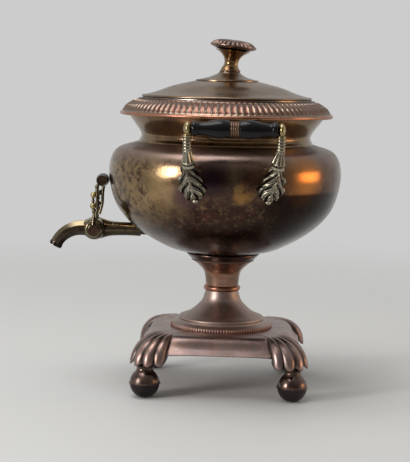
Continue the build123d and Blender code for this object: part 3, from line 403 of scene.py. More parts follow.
def clasp_material():
    """Cast brass: silvery where rubbed, black in the hollows, golden on the bar's end caps."""
    n = Paint("clasp_brass")
    worn = n.ramp(n.noise(70.0, 7.0, 0.65), 0.42, 0.6)
    colour = n.mix(worn, (0.20, 0.17, 0.115), (0.40, 0.37, 0.29))
    colour = n.mix(n.ramp(n.pointiness(), 0.50, 0.56, 0.0, 0.7), colour, (0.52, 0.49, 0.40))
    black = (0.014, 0.012, 0.010)
    colour = n.mix(n.ramp(n.pointiness(), 0.44, 0.505, 0.96, 0.0), colour, black)
    colour = n.mix(n.groove(), colour, black, 0.93)
    cap = n.ramp(n.axis("Z"), 0.2812, 0.2825)
    colour = n.mix(cap, colour, (0.34, 0.26, 0.11), 0.85)
    shine = n.ramp(n.noise(90.0, 6.0, 0.6), 0.35, 0.7, 0.2, 0.36)
    n.finish(colour, shine, n.noise(400.0, 4.0, 0.6), 0.00008)


def tap_material():
    """Brass with painted light: golden where it faces up, painted shade at the sides and underneath."""
    tones = [(0.15, 0.12, 0.08), (0.22, 0.17, 0.10), (0.065, 0.048, 0.036), (0.09, 0.065, 0.045)]
    n, colour, shine = layered("tap_brass_painted_light", tones, 45.0, (0.14, 0.30), 0.6)
    # Painted light: faces turned up are mixed towards gold.
    colour = n.mix(n.ramp(n.facing_up(), 0.45, 0.9), colour, (0.36, 0.28, 0.15), 0.6)
    # Painted shade: the sides and the faces turned down are darkened.
    colour = n.mix(n.ramp(n.facing_up(), 0.25, -0.35), colour, (0.035, 0.026, 0.021), 0.8)
    colour = n.mix(n.ramp(n.pointiness(), 0.44, 0.495, 0.9, 0.0), colour, (0.02, 0.015, 0.012))
    n.finish_fine(colour, shine, 0.00006)


def key_material():
    """Dark bronze with its two larger beads rubbed golden."""
    tones = [(0.10, 0.08, 0.055), (0.14, 0.11, 0.07), (0.045, 0.035, 0.028), (0.065, 0.048, 0.036)]
    n, colour, shine = layered("key_bronze", tones, 70.0, (0.16, 0.32), 0.5)
    colour = n.mix(n.ramp(n.pointiness(), 0.51, 0.57, 0.0, 0.55), colour, (0.30, 0.25, 0.15))
    colour = n.mix(n.ramp(n.pointiness(), 0.44, 0.495, 0.9, 0.0), colour, (0.016, 0.012, 0.010))
    for rise in GOLD_BEAD_RISES:
        bead = ((PLUG_X - 0.8) * MM, ARM_Y * MM, (TAP_Z + rise) * MM)
        colour = n.mix(n.near(bead, 0.0034, 0.0042), colour, (0.38, 0.31, 0.15))
    n.finish_fine(colour, shine, 0.00006)


def make_materials():
    for name, settings in SLOT_METALS.items():
        metal_patina(name, *settings)
    glossy_wood("ebony", (0.008, 0.007, 0.008), (0.004, 0.0035, 0.004), 0.13)
    glossy_wood("brown_horn", (0.045, 0.024, 0.014), (0.018, 0.010, 0.007), 0.2)
    for name, settings in PLAIN_METALS.items():
        plain_metal(name, *settings)
    for name, settings in MARKED_METALS.items():
        marked_metal(name, *settings)
    bowl_material()
    cup_material()
    knob_material()
    clasp_material()
    tap_material()
    key_material()


def paint_frame():
    """Every CAD node takes the material of its record slot, apart from those with one of their own."""
    slots = {part["node"]: part["material_slot"] for part in frame["record"]["subparts"]}
    own = {"tap_body": "tap_brass_painted_light", "tap_spout": "tap_brass_painted_light", "tap_plug": "key_bronze",
           "key_screws": "dark_bronze_and_gap_shade"}
    for name, obj in frame["nodes"].items():
        obj.data.materials.clear()
        obj.data.materials.append(MATERIALS[own.get(name, slots[name])])


def smooth_line(points, steps=6):
    """A Catmull-Rom curve through the points."""
    if len(points) < 3:
        return list(points)
    line = []
    ends = [[2 * a - b for a, b in zip(points[0], points[1])]]
    ends.extend(points)
    ends.append([2 * a - b for a, b in zip(points[-1], points[-2])])
    for index in range(1, len(ends) - 2):
        p0, p1, p2, p3 = ends[index - 1:index + 3]
        for step in range(steps):
            t = step / steps
            line.append(tuple(
                0.5 * (2 * b + (c - a) * t + (2 * a - 5 * b + 4 * c - d) * t**2
                       + (3 * b - a - 3 * c + d) * t**3)
                for a, b, c, d in zip(p0, p1, p2, p3)))
    line.append(tuple(points[-1]))
    return line


def arc_line(centre, radius, start, end, steps=10):
    """Points on an arc about a centre, angles in degrees from the +r axis."""
    points = []
    for step in range(steps + 1):
        angle = math.radians(start + (end - start) * step / steps)
        points.append((centre[0] + radius * math.cos(angle), centre[1] + radius * math.sin(angle)))
    return points


def ring_quads(rings, segments):
    """Faces between rings of points that follow one another."""
    faces = []
    for first in range(0, (rings - 1) * segments, segments):
        for step in range(segments):
            a = first + step
            b = first + (step + 1) % segments
            faces.append((a, b, b + segments, a + segments))
    return faces


def column_quads(columns, count):
    """Faces between neighbouring columns of count points, the last of which meets the first."""
    faces = []
    for column in range(columns):
        here = column * count
        there = (column + 1) % columns * count
        for index in range(count - 1):
            faces.append((here + index, there + index, there + index + 1, here + index + 1))
    return faces


def add_mesh(name, verts, faces, body, nodes, slot, angle=32.0, material=None, marks=None):
    """A piece in metres that rides a body and stands for the CAD nodes named; marks darken its grooves."""
    mesh = bpy.data.meshes.new(name)
    mesh.from_pydata(verts, [], faces)
    if marks:
        mesh.attributes.new("groove", "FLOAT", "POINT").data.foreach_set("value", marks)
    mesh.validate()
    bm = bmesh.new()
    bm.from_mesh(mesh)
    bmesh.ops.remove_doubles(bm, verts=bm.verts, dist=1e-6)
    bmesh.ops.recalc_face_normals(bm, faces=bm.faces)
    bm.to_mesh(mesh)
    bm.free()
    mesh.polygons.foreach_set("use_smooth", [True] * len(mesh.polygons))
    mesh.set_sharp_from_angle(angle=math.radians(angle))
    obj = bpy.data.objects.new(name, mesh)
    bpy.context.scene.collection.objects.link(obj)
    mesh.materials.append(MATERIALS[material or slot])
    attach(obj, body)
    if nodes:
        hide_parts(*nodes)
    return obj


def lathe_mesh(profile, segments, shape=None):
    """Verts and faces of a profile in mm turned about Z. shape(r, z, angle, index) moves each point."""
    verts = []
    for column in range(segments):
        angle = math.tau * column / segments
        for index, (r, z) in enumerate(profile):
            if shape:
                r, z = shape(r, z, angle, index)
            verts.append((r * math.cos(angle) * MM, r * math.sin(angle) * MM, z * MM))
    return verts, column_quads(segments, len(profile))


def lathe(name, profile, body, nodes, slot, segments=192, shape=None, place=None, angle=32.0, material=None,
          marks=None):
    verts, faces = lathe_mesh(profile, segments, shape)
    if place is not None:
        verts = [tuple(place @ Vector(v)) for v in verts]
    return add_mesh(name, verts, faces, body, nodes, slot, angle, material, marks)


# Pieces turned about the urn's axis
BOWL_WIDEST = 127.4
BOWL_WIDEST_Z = 236.0
BOWL_SIDE = smooth_line([(37.0, 148.0), (62.7, 155.0), (97.3, 175.4), (119.4, 201.0),
                         (BOWL_WIDEST, BOWL_WIDEST_Z), (120.0, 259.7), (96.4, 269.2)], 14)


def make_body():
    inner = [(r - 1.4, z + (1.2 if z < BOWL_WIDEST_Z else -1.2)) for r, z in reversed(BOWL_SIDE)]
    shell = [(0.5, 148.0)] + BOWL_SIDE + inner + [(0.5, 149.4)]
    lathe("bowl_shell", shell, "root", ["bowl"], "worn_plate", 256, material="bowl_patina")
    hollow = smooth_line([(95.95, 266.2), (95.95, 269.2), (92.9, 278.2), (104.7, 295.2), (108.4, 300.6)], 10)
    neck = hollow + [(112.4, 300.6), (112.4, 302.2), (108.4, 302.2)]
    neck += [(r - 1.6, z + 0.4) for r, z in reversed(hollow)]
    lathe("neck_ring", neck + [neck[0]], "root", ["neck"], "worn_plate", 256, material="neck_patina")
    lathe("rim_bead", arc_line((114.6, 300.15), 2.0, 0, 360, 14), "root", ["rim_wire"], "bare_copper", 256)
    collar = [(88.0, 303.6), (88.0, 316.6), (96.0, 316.6), (96.4, 316.2), (96.4, 315.6), (89.6, 315.6),
              (89.6, 303.6), (88.0, 303.6)]
    # The collar is painted near black as the shade of the gap under the lid.
    lathe("collar_ring", collar, "root", ["mouth_collar"], "dull_tin", material="dark_bronze_and_gap_shade")


GADROONS = 108
GADROON_COLUMNS = 10
GADROON_DEPTH = 1.15
GADROON_SWIRL = 0.25
BORDER_STEPS = 26
REEDS = 112
REED_COLUMNS = 8
REED_DEPTH = 0.75
PETALS = 26
PETAL_COLUMNS = 12


def from_middle(repeats):
    """0 in the middle of each of the repeats counted, 1 where two of them meet."""
    return abs(2 * (repeats % 1.0) - 1)


def quarter_round(r, z, height, share):
    """A point of the border's flattened quarter round; share runs from 0 at the rim to 1 at the top."""
    angle = math.radians(90 * share)
    return r + 17.0 * math.cos(angle) ** 1.3, z + height * math.sin(angle) ** 1.3


def make_border():
    """The gadrooned border: a skin with sunk flutes that are rounded at the foot, and the solder behind it."""
    shares = [step / BORDER_STEPS for step in range(BORDER_STEPS + 1)]
    outer = [quarter_round(97.4, 302.2, 13.4, share) for share in shares]
    back = [quarter_round(95.2, 302.25, 11.4, share) for share in reversed(shares)]

    def flute(r, z, angle, index):
        if index > BORDER_STEPS:
            return r, z
        share = shares[index]
        foot = min(1.0, share / 0.13)
        lobe = math.sqrt(max(0.0, 1 - from_middle(angle * GADROONS / math.tau + GADROON_SWIRL * share) ** 2.2))
        width = math.sqrt(max(0.0, 1 - (1 - foot) ** 2))
        depth = GADROON_DEPTH * lobe * foot * min(1.0, (1 - share) / 0.06) * width
        tilt = math.radians(90 * share)
        return r - depth * math.cos(tilt), z - depth * math.sin(tilt)

    filling = [(r - 0.1, z - 0.05) for r, z in back] + [(108.0, 302.25), (93.4, 312.0), (93.4, 313.6)]
    lathe("border_solder", filling + [filling[0]], "root", ["border_filling"], "dull_tin")
    profile = outer + [(95.2, 315.6)] + back + [outer[0]]
    marks = []
    for column in range(GADROONS * GADROON_COLUMNS):
        for index in range(len(profile)):
            share = shares[index] if index <= BORDER_STEPS else 0.0
            across = from_middle(column / GADROON_COLUMNS + GADROON_SWIRL * share)
            marks.append(1 - across ** 2 if 0.08 < share < 0.97 else 0.0)
    lathe("border_lobes", profile, "root", ["rim_border"], "worn_plate", GADROONS * GADROON_COLUMNS, flute,
          angle=50.0, material="border_patina", marks=marks)


def make_reeded_band():
    side = arc_line((53.6, 67.8), 3.0, -84, 84, 12)

    def reed(r, z, angle, index):
        if not 2 <= index <= len(side) - 3:
            return r, z
        return r - REED_DEPTH * from_middle(angle * REEDS / math.tau) ** 3, z

    profile = [(43.2, 64.9)] + side + [(43.2, 70.7), (43.2, 64.9)]
    profile = [(min(r, 56.2), z) for r, z in profile]
    marks = []
    for column in range(REEDS * REED_COLUMNS):
        mark = from_middle(column / REED_COLUMNS) ** 1.6
        marks += [mark if 3 <= index <= len(side) - 2 else 0.0 for index in range(len(profile))]
    lathe("band_reeds", profile, "root", ["reeded_band"], "bare_copper", REEDS * REED_COLUMNS, reed, angle=60.0,
          material="band_copper", marks=marks)


def make_pedestal():
    flare = smooth_line([(18.0, 105.7), (22.5, 93.6), (34.4, 82.5), (46.1, 77.4)], 10)
    skirt = flare + [(47.1, 76.2), (47.3, 75.4), (46.9, 74.6)]
    skirt += smooth_line([(47.9, 74.2), (49.7, 72.0), (53.8, 70.8)], 6) + [(45.0, 70.8)]
    skirt += [(r - 1.7, z - 1.9) for r, z in reversed(flare)]
    lathe("skirt_flare", skirt + [skirt[0]], "root", ["pedestal_skirt"], "worn_plate", material="skirt_patina")
    ring = [(15.0, 105.7), (17.4, 105.7)] + arc_line((17.4, 108.7), 3.0, -90, 90, 12) + [(15.0, 111.7)]
    lathe("knop", ring + [ring[0]], "root", ["knop_ring"], "bare_copper", 128)
    cup_side = [(18.0, 111.7), (19.1, 121.9), (22.0, 129.5)]
    cup = smooth_line(cup_side + [(32.8, 139.3)], 10) + [(34.4, 139.5), (34.5, 141.1)]
    cup += smooth_line([(34.6, 141.3), (38.0, 144.6), (40.0, 146.6)], 5)
    cup += [(39.9, 147.4), (39.2, 148.0), (23.4, 148.0), (23.4, 145.8), (31.8, 145.8)]
    cup += [(r - 2.2, z) for r, z in reversed(smooth_line(cup_side + [(32.8, 139.8)], 6))]
    lathe("cup_flare", cup + [cup[0]], "root", ["pedestal_cup"], "worn_plate", 160, material="pedestal_patina")


# The knob's foot is sheared sideways above the disc, and the rest leans, as in the photograph
KNOB_SHEAR = 0.28
KNOB_DISC_TOP = 0.3379
KNOB_PLACE = Matrix.Translation((3.0 * MM, 0, 348.7 * MM)) @ Matrix.Rotation(math.radians(6.0), 4, "Y")


def make_lid():
    crown = smooth_line([(91.6, 319.9), (77.6, 323.6), (58.7, 330.6), (35.7, 336.2)], 12)
    dome = [(0.5, 336.2)] + list(reversed(crown)) + arc_line((91.6, 318.9), 1.5, 70, -150, 12)
    dome += [(r, z - 1.5) for r, z in crown] + [(0.5, 334.7)]
    lathe("dome", dome, "lid", ["lid_dome"], "worn_plate", 256, material="lid_patina")
    disc = [(0.5, 336.2), (33.7, 336.2), (34.2, 336.5), (34.2, 337.5), (33.7, 337.9), (30.2, 337.9)]
    disc += smooth_line([(29.6, 338.3), (20.5, 340.9), (13.2, 344.4), (11.6, 346.1)], 7)
    disc += [(10.1, 346.2)] + arc_line((10.1, 347.4), 1.3, -80, 90, 9) + [(6.0, 348.75), (0.5, 348.75)]
    foot = lathe("knob_foot", disc, "lid", ["knob_base"], "worn_plate", 160, material="lid_patina")
    for vertex in foot.data.vertices:
        vertex.co.x += KNOB_SHEAR * max(0.0, vertex.co.z - KNOB_DISC_TOP)


def make_knob():
    stem = smooth_line([(10.6, 0.1), (7.9, 5.0), (7.6, 8.6), (9.3, 13.5), (13.0, 17.5), (19.5, 21.3)], 8)
    lathe("knob_waist", [(0.5, -1.5), (10.2, -1.5)] + stem + [(0.5, 21.4)], "lid", ["knob_stem"], "worn_plate",
          128, place=KNOB_PLACE, material="knob_brass")
    under = smooth_line([(0.5, 21.4), (15.2, 21.6), (24.2, 24.2)], 8)
    lip = arc_line((23.6, 25.9), 1.75, -60, 75, 7)
    crown = smooth_line([(23.8, 27.7), (20.5, 30.3), (15.0, 32.0), (8.0, 32.7), (0.5, 32.9)], 8)
    profile = under[:-1] + lip + crown
    first_petal_row = len(under) + len(lip) - 4

    def petal(r, z, angle, index):
        if index < first_petal_row:
            return r, z
        across = from_middle(angle * PETALS / math.tau)
        share = max(0.0, min(1.0, (r - 7.0) / 9.0))
        return r - 0.5 * share * across ** 2 * (r > 22), z - 1.5 * share * across ** 2.5

    lathe("knob_crown", profile, "lid", ["knob_cap"], "worn_plate", PETALS * PETAL_COLUMNS, petal, KNOB_PLACE,
          50.0, "knob_copper")


# Ball feet: each stands this far from the axis in x and in y
FOOT_OFFSET = 78.5
BALL_RADIUS = 16.0
BALL_SEAM_Z = 15.35


def make_feet():
    lower = [(0.3, 0.05)] + arc_line((0, BALL_SEAM_Z), BALL_RADIUS, -73.5, -1.5, 20)
    lower += [(16.9, 14.9), (16.9, 15.32), (0.3, 15.32)]
    upper = [(0.3, 15.36), (16.9, 15.36), (16.9, 15.9), (16.1, 16.1)]
    upper += arc_line((0, BALL_SEAM_Z), BALL_RADIUS, 3, 48, 14)
    upper += smooth_line([(10.2, 27.8), (8.9, 30.2), (8.8, 31.8), (10.0, 34.0)], 6)
    upper += [(9.6, 34.6), (3.5, 36.0), (3.4, 49.9), (0.3, 49.9)]
    for corner, sx, sy in (("back_right", 1, 1), ("back_left", -1, 1), ("front_left", -1, -1),
                           ("front_right", 1, -1)):
        shift = Matrix.Translation((FOOT_OFFSET * MM * sx, FOOT_OFFSET * MM * sy, 0))
        # The lower halves are near black: patina and painted reflection of a dark table below them.
        lathe("ball_lower_" + corner, lower, "root", ["foot_lower_" + corner], "dark_patina", 96, place=shift)
        lathe("ball_upper_" + corner, upper, "root", ["foot_upper_" + corner], "worn_plate", 96, place=shift,
              material="foot_copper")


def tube_mesh(points, radii, segments=24, shape=None):
    """A round tube along points in mm, closed at both ends. shape(radius, angle, share) changes each radius."""
    verts = []
    points = [Vector(p) for p in points]
    side = None
    count = len(points)
    for index, point in enumerate(points):
        ahead = points[min(index + 1, count - 1)] - points[max(index - 1, 0)]
        ahead.normalize()
        if side is None:
            side = ahead.orthogonal().normalized()
        side = (side - ahead * side.dot(ahead)).normalized()
        up = ahead.cross(side)
        for step in range(segments):
            angle = math.tau * step / segments
            radius = radii[index]
            if shape:
                radius = shape(radius, angle, index / (count - 1))
            verts.append(tuple(point + (side * math.cos(angle) + up * math.sin(angle)) * radius))
    faces = ring_quads(count, segments)
    faces.append(tuple(reversed(range(segments))))
    faces.append(tuple(range((count - 1) * segments, count * segments)))
    return verts, faces


def ball_mesh(centre, radius, squash=(1.0, 1.0, 1.0), rings=12, segments=20):
    verts = []
    for ring in range(rings + 1):
        tilt = math.pi * ring / rings
        for step in range(segments):
            angle = math.tau * step / segments
            out = (math.sin(tilt) * math.cos(angle), math.sin(tilt) * math.sin(angle), math.cos(tilt))
            verts.append(tuple(c + radius * k * o for c, k, o in zip(centre, squash, out)))
    return verts, ring_quads(rings + 1, segments)


def joined(*meshes):
    verts = []
    faces = []
    for more_verts, more_faces in meshes:
        base = len(verts)
        verts.extend(more_verts)
        faces.extend(tuple(v + base for v in face) for face in more_faces)
    return verts, faces


def placed(mesh, matrix=Matrix.Identity(4), mirror=False):
    """A mesh in mm taken to metres and moved; mirror turns its x round first."""
    verts, faces = mesh
    moved = []
    for x, y, z in verts:
        point = matrix @ Vector(((-x if mirror else x) * MM, y * MM, z * MM))
        moved.append(tuple(point))
    return moved, faces


# Handles: the bar's line and the turn of both handles about the urn's axis
BAR_Y = -140.0
BAR_Z = 289.5
HANDLE_TURN = 4.5

# The clasp's arm from the bar down: the heights where its ribs, ring, flutes and lower ring end
RIB_PITCH = 3.1
RIBS_END = 268.0
NECK_RING_END = 266.5
FLUTES_END = 255.6
FOOT_RING_END = 253.9


def bowl_radius(height):
    for (r0, z0), (r1, z1) in zip(BOWL_SIDE, BOWL_SIDE[1:]):
        if z0 <= height <= z1:
            return r0 + (r1 - r0) * (height - z0) / (z1 - z0)
    return BOWL_WIDEST


def along(table, share):
    """A value read from (share, value) pairs, eased between them."""
    for (s0, v0), (s1, v1) in zip(table, table[1:]):
        if share <= s1:
            t = (share - s0) / (s1 - s0)
            t = t * t * (3 - 2 * t)
            return v0 + (v1 - v0) * t
    return table[-1][1]


# The leaf: half width, ridge and distance of its spine from the handle's middle, each from top to tip
LEAF_WIDTH = [(0, 6.2), (0.14, 8.5), (0.36, 12.6), (0.6, 14.2), (0.78, 12.2), (0.92, 7.0), (1.0, 2.6)]
LEAF_RIDGE = [(0, 16.0), (0.15, 14.4), (0.4, 12.4), (0.65, 10.2), (0.85, 7.0), (0.95, 5.6), (1.0, 5.0)]
LEAF_SPINE = [(0, 44.6), (0.25, 42.2), (0.5, 40.0), (0.8, 38.2), (1.0, 37.4)]
LEAF_TOP = 252.0
LEAF_DROP = 37.6
LEAF_ROWS = 84
LEAF_COLUMNS = 64
LEAFLETS = 3.6
LEAF_THICKNESS = 2.4


def leaf_mesh():
    """An acanthus leaf that grips the bowl: a ridge down its middle and leaflets cut into both wings."""
    verts = []
    faces = []
    marks = []
    for row in range(LEAF_ROWS + 1):
        v = row / LEAF_ROWS
        height = LEAF_TOP - LEAF_DROP * v
        spine = along(LEAF_SPINE, v)
        surface = bowl_radius(height)
        middle = math.atan2(-math.sqrt(surface ** 2 - spine ** 2), spine)
        edge_cut = abs(math.sin(math.pi * (LEAFLETS * v + 0.15)))
        width = along(LEAF_WIDTH, v) * (0.80 + 0.20 * edge_cut ** 0.6)
        ridge = along(LEAF_RIDGE, v)
        for column in range(LEAF_COLUMNS + 1):
            u = 2 * column / LEAF_COLUMNS - 1
            side = abs(u)
            phase = LEAFLETS * v - 0.9 * side - 0.35 * side ** 2
            leaflet = abs(math.sin(math.pi * (phase + 0.4))) ** 0.7
            vein = abs(math.sin(math.pi * (4 * phase + 1.4 * side + 0.3 * math.sin(9 * v + 5 * u))))
            fade = min(1.0, side / 0.18)
            relief = fade * (3.0 * (leaflet - 0.6) + 0.9 * vein)
            marks.append(fade * min(1.0, 1.3 * (1 - leaflet) + 0.7 * (1 - vein) ** 2))
            dome = LEAF_THICKNESS + (ridge - LEAF_THICKNESS) * (1 - side ** 0.95)
            curl = 1.8 * max(0.0, side - 0.7) / 0.3 * leaflet
            out = dome + relief + curl
            if side > 0.97:
                out = -1.0
            elif side > 0.9:
                out = max(0.4, out)
            turn = middle + u * width / surface
            radius = surface + out
            sag = 1.6 * side * math.sin(math.pi * v)
            verts.append((radius * math.cos(turn), radius * math.sin(turn), height - sag))
    for row in range(LEAF_ROWS):
        for column in range(LEAF_COLUMNS):
            a = row * (LEAF_COLUMNS + 1) + column
            faces.append((a, a + 1, a + LEAF_COLUMNS + 2, a + LEAF_COLUMNS + 1))
    return (verts, faces), marks


def clasp_mesh():
    """A clasp: a ribbed arm that flares into flutes, the bar's end ball, and the leaf with a bead at its tip."""
    path = smooth_line([(47.5, BAR_Y, 284.0), (47.4, -139.7, 276.0), (47.0, -138.6, 267.0),
                        (46.0, -136.2, 259.0), (44.8, -133.2, 251.0)], 16)
    radii = []
    for _, _, z in path:
        if z > RIBS_END:
            radii.append(3.9 + 0.55 * abs(math.sin(math.pi * (z - RIBS_END) / RIB_PITCH)))
        elif z > NECK_RING_END:
            radii.append(4.9)
        elif z > FLUTES_END:
            radii.append(4.3 + 2.9 * ((NECK_RING_END - z) / (NECK_RING_END - FLUTES_END)) ** 1.4)
        elif z > FOOT_RING_END:
            radii.append(5.3)
        else:
            radii.append(6.9)

    def fluted(radius, angle, share):
        if 0.48 < share < 0.84:
            return radius * (1 - 0.11 * abs(math.sin(6 * angle)))
        return radius

    arm = tube_mesh(path, radii, 72, fluted)
    ball = ball_mesh((47.5, BAR_Y, BAR_Z), 7.2, (0.55, 1.0, 1.0), 20, 32)
    bead = ball_mesh((37.2, -125.6, 215.2), 3.0, (1.0, 1.0, 0.8))
    leaf, grooves = leaf_mesh()
    marks = [0.0] * (len(arm[0]) + len(ball[0])) + grooves + [0.0] * len(bead[0])
    return joined(arm, ball, leaf, bead), marks


def make_handles():
    swell = smooth_line([(4.6, 8.0), (7.0, 8.9), (13.4, 9.8), (20.5, 9.1), (28.0, 7.3), (34.2, 6.3),
                         (37.4, 6.5)], 8)
    bead = smooth_line([(37.4, 6.5), (38.8, 7.6), (41.0, 7.9), (42.8, 7.1), (43.5, 5.8)], 6)
    grip = [(4.6, 2.1)] + swell + bead[1:] + [(43.5, 2.1)]
    ring = [(2.1, -4.6)]
    for bead_index in range(4):
        centre = -4.6 + 2.3 * (bead_index + 0.5)
        ring += [(6.85 + 1.15 * math.cos(math.radians(a)), centre + 1.15 * math.sin(math.radians(a)))
                 for a in range(-90, 91, 18)]
    ring.append((2.1, 4.6))
    along_x = Matrix.Translation((0, BAR_Y * MM, BAR_Z * MM)) @ Matrix.Rotation(math.radians(90), 4, "Y")
    clasp, clasp_marks = clasp_mesh()
    for end, half_turn in (("front", 0), ("back", 180)):
        spin = Matrix.Rotation(math.radians(HANDLE_TURN + half_turn), 4, "Z")
        for side, sign in (("right", 1), ("left", -1)):
            name = f"handle_{end}_{side}"
            verts, faces = placed(clasp, spin, mirror=sign < 0)
            add_mesh(name + "_leaf_clasp", verts, faces, "root", [f"handle_{end}_clasp_{side}"], "aged_brass",
                     60.0, "clasp_brass", clasp_marks)
            lathe(name + "_grip", [(r, sign * x) for x, r in grip], "root", [f"handle_{end}_grip_{side}"],
                  "ebony", 72, place=spin @ along_x)
        lathe(f"handle_{end}_beads", ring, "root", [f"handle_{end}_ring"], "aged_brass", 64,
              place=spin @ along_x, material="ring_brass")


# Base: one sheet with a swept skirt along each side and five lobes at each corner
PLATE_Z = 64.8
SHEET_THICKNESS = 1.2
LOBES = 5
VALLEYS = [(87.0, 57.0, 43.0), (90.0, 68.5, 41.5), (88.2, 80.0, 41.5), (80.0, 88.2, 41.5), (68.5, 90.0, 41.5),
           (57.0, 87.0, 43.0)]
TIPS = [(92.6, 62.6, 35.6), (93.2, 75.0, 35.0), (86.6, 86.6, 34.6), (75.0, 93.2, 35.0), (62.6, 92.6, 35.6)]
SKIRT_SIDE = smooth_line([(70.0, PLATE_Z), (74.6, 63.6), (77.6, 60.4), (79.6, 56.0), (81.6, 52.6),
                          (85.2, 48.4), (86.4, 47.0)], 4)
DROP_ROWS = len(SKIRT_SIDE) - 1
SKIRT_STEPS = 40
CORNER_STEPS = 90


def corner_column(share):
    """One profile line over a corner, from the plate to the lobes' tips; share runs 0 to 1 round the corner."""
    lobe = min(LOBES - 1, int(share * LOBES))
    across = share * LOBES - lobe
    hump = math.sin(math.pi * across)
    low, high, tip = VALLEYS[lobe], VALLEYS[lobe + 1], TIPS[lobe]
    edge = [low[i] + (high[i] - low[i]) * across for i in range(3)]
    middle = [(low[i] + high[i]) / 2 for i in range(3)]
    rounded = hump ** 0.55
    foot = [edge[i] + (tip[i] - middle[i]) * rounded for i in range(3)]
    turn = math.radians(16 + 58 * share)
    head = (44 + 20.5 * math.cos(turn), 44 + 20.5 * math.sin(turn), PLATE_Z)
    way = math.hypot(foot[0] - head[0], foot[1] - head[1])
    out = ((foot[0] - head[0]) / way, (foot[1] - head[1]) / way)
    line = [head]
    for row in range(1, DROP_ROWS + 1):
        t = row / DROP_ROWS
        angle = math.pi / 2 * t
        swell = 2.3 * min(1.0, t / 0.3) ** 0.8 * (hump ** 0.7 - 0.45) * (1 - 0.35 * t)
        run = way * math.sin(angle) + swell * math.sin(angle) * 0.8
        height = foot[2] + (head[2] - foot[2]) * math.cos(angle) ** 0.92 + swell * math.cos(angle)
        line.append((head[0] + out[0] * run, head[1] + out[1] * run, height))
    return line, [(1 - hump) ** 0.9 * min(1.0, row / DROP_ROWS / 0.25) for row in range(DROP_ROWS + 1)]


def skirt_column(across):
    """One profile line over a side; across runs -1 to 1 along the side that faces +X."""
    line = []
    bend = abs(across) ** 6
    for row, (x, z) in enumerate(SKIRT_SIDE):
        t = row / DROP_ROWS
        half = 53.5 - 2.5 * bend * (1 - t) + 3.5 * t * bend
        line.append((x - 6.5 * bend * (1 - t) ** 1.5 + 0.6 * bend * t, across * half, z - 1.0 * bend * t))
    return line, [0.8 * abs(across) ** 40] * (DROP_ROWS + 1)


def base_mesh():
    quarter = [skirt_column(-1 + 2 * step / SKIRT_STEPS) for step in range(SKIRT_STEPS + 1)]
    quarter += [corner_column(step / CORNER_STEPS) for step in range(CORNER_STEPS + 1)]
    columns = []
    marks = []
    for turn in range(4):
        angle = math.radians(90 * turn)
        c, s = math.cos(angle), math.sin(angle)
        for line, grooves in quarter:
            spun = [(x * c - y * s, x * s + y * c, z) for x, y, z in line]
            head = spun[0]
            reach = math.hypot(head[0], head[1])
            flat = [(head[0] * r / reach, head[1] * r / reach, PLATE_Z)
                    for r in (43.2, 50.0, min(57.0, reach - 6.0), reach - 2.0)]
            columns.append(flat + spun)
            marks += [0.0] * len(flat) + grooves
    verts = [tuple(v * MM for v in point) for column in columns for point in column]
    return verts, column_quads(len(columns), len(columns[0])), marks


def make_base():
    verts, faces, marks = base_mesh()
    nodes = ["base_plate"] + [f"corner_shell_{a}_{b}" for a in ("front", "back") for b in ("left", "right")]
    base = add_mesh("base_sheet", verts, faces, "root", nodes, "worn_plate", 70.0, "base_copper", marks)
    # The plate faces up, so that the sheet thickens downwards
    if any(p.normal.z < 0 and p.center.z > (PLATE_Z - 0.3) * MM for p in base.data.polygons):
        base.data.flip_normals()
    solid = base.modifiers.new("sheet", "SOLIDIFY")
    solid.thickness = SHEET_THICKNESS * MM
    solid.offset = -1.0


# Tap: the plug's axis, the key's arms and the spout's mouth
TAP_Z = 171.0
PLUG_X = -142.5
ARM_Y = -15.9
FAR_LEAN = 0.1
KEY_BEADS = [(0.2, 20.6, 2.5), (-0.8, 25.8, 3.5), (-0.8, 31.6, 1.9), (-0.7, 37.9, 3.2), (2.6, 47.0, 2.0),
             (2.8, 43.6, 1.7)]
GOLD_BEAD_RISES = (25.8, 37.9)
SPOUT_MOUTH = (-185.55, 0, 152.26)
SPOUT_TILT = math.radians(62)


def turned_about_y(profile, x, z, segments):
    verts = []
    for column in range(segments):
        angle = math.tau * column / segments
        for r, y in profile:
            verts.append((x + r * math.cos(angle), y, z + r * math.sin(angle)))
    return verts, column_quads(segments, len(profile))


def key_arm_mesh():
    """One arm of the tap's key: a strap on its ring, a plain stem and a beaded strand that crosses it."""
    def at(dx, dz):
        return PLUG_X + dx, ARM_Y, TAP_Z + dz

    strap = smooth_line([at(0, 5.0), at(0.1, 10.0), at(0.3, 17.5)], 8)
    stem = smooth_line([at(2.4, 14.0), at(4.2, 26.0), at(3.4, 38.0), at(4.0, 50.0)], 10)
    strand = smooth_line([at(-0.2, 17.0), at(-0.8, 28.0), at(-0.7, 37.0), at(1.6, 40.6), at(4.0, 39.4)], 10)
    ring = [(4.1, -14.5), (9.9, -14.5), (10.2, -14.9), (9.6, -16.0), (8.2, -16.9), (6.4, -17.3), (6.1, -17.0),
            (5.8, -17.4), (4.1, -17.4), (4.1, -14.5)]
    return joined(tube_mesh(strap, [3.0 - 0.09 * i for i in range(len(strap))], 20),
                  tube_mesh(stem, [1.75] * len(stem), 16),
                  tube_mesh(strand, [1.35] * len(strand), 16),
                  turned_about_y(ring, PLUG_X, TAP_Z, 48),
                  *[ball_mesh(at(dx, dz), radius) for dx, dz, radius in KEY_BEADS])


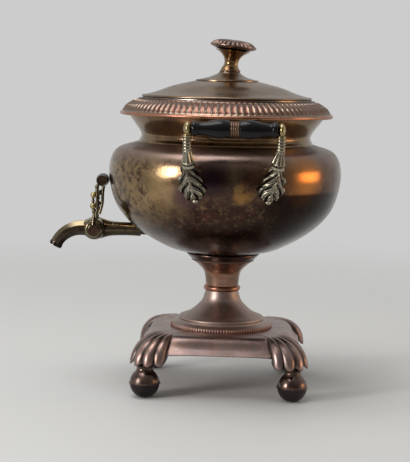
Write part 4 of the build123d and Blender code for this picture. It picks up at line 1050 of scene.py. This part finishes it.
def make_tap():
    arm = key_arm_mesh()
    verts, faces = placed(arm)
    add_mesh("key_strand_near", verts, faces, "tap_key", ["key_arm_near"], "aged_brass", 60.0, "key_bronze")
    verts, faces = placed(arm, Matrix.Scale(-1, 4, (0, 1, 0)))
    lean_from = (TAP_Z + 8.0) * MM
    verts = [(x + FAR_LEAN * max(0.0, z - lean_from), y, z) for x, y, z in verts]
    add_mesh("key_strand_far", verts, faces, "tap_key", ["key_arm_far"], "aged_brass", 60.0, "key_bronze")
    grip = [(0.2, -14.4)] + smooth_line([(5.7, -14.4), (6.7, -8.0), (7.2, 0.0), (6.7, 8.0), (5.7, 14.4)], 8)
    grip += [(0.2, 14.4)]
    verts, faces = placed(turned_about_y(grip, PLUG_X + 8.0, TAP_Z + 53.8, 48))
    add_mesh("key_ball", verts, faces, "tap_key", ["key_grip"], "brown_horn", 50.0)
    swell = smooth_line([(5.2, -17.0), (7.8, -12.5), (11.0, -6.5), (12.2, 0.0), (11.4, 7.0), (8.9, 15.0),
                         (7.4, 24.0)], 8)
    along_x = Matrix.Translation((PLUG_X * MM, 0, TAP_Z * MM)) @ Matrix.Rotation(math.radians(90), 4, "Y")
    lathe("tap_swell", [(0.5, -17.0)] + swell + [(0.5, 24.0)], "root", [], "aged_brass", 64, place=along_x,
          material="tap_brass_painted_light")
    outwards = Vector((-math.cos(SPOUT_TILT), 0, -math.sin(SPOUT_TILT))).to_track_quat("Z", "Y")
    mouth = Matrix.Translation([v * MM for v in SPOUT_MOUTH]) @ outwards.to_matrix().to_4x4()
    lip = [(4.6, -1.6), (7.3, -1.6), (7.42, -1.2), (7.24, 1.2), (7.0, 1.5), (4.6, 1.5), (4.6, -1.6)]
    # The lip is painted near black as the shade inside the spout's mouth.
    lathe("spout_lip", lip, "root", [], "aged_brass", 48, place=mouth, material="dark_patina")


bpy.context.scene.view_settings.view_transform = "Standard"
make_camera()
make_world()
make_stage()
area_light("window", (-1.62, -1.25, 0.62), (0.42, 0.75), 24.0, (1.0, 0.98, 0.95))
area_light("top_soft", (-0.5, -0.3, 2.2), (1.4, 1.4), 26.0, (0.97, 0.98, 1.0))
area_light("warm_side", (1.9, 0.0, 0.30), (0.85, 0.45), 5.0, (1.0, 0.55, 0.22))
make_materials()
paint_frame()
make_body()
make_border()
make_reeded_band()
make_pedestal()
make_lid()
make_knob()
make_feet()
make_handles()
make_base()
make_tap()
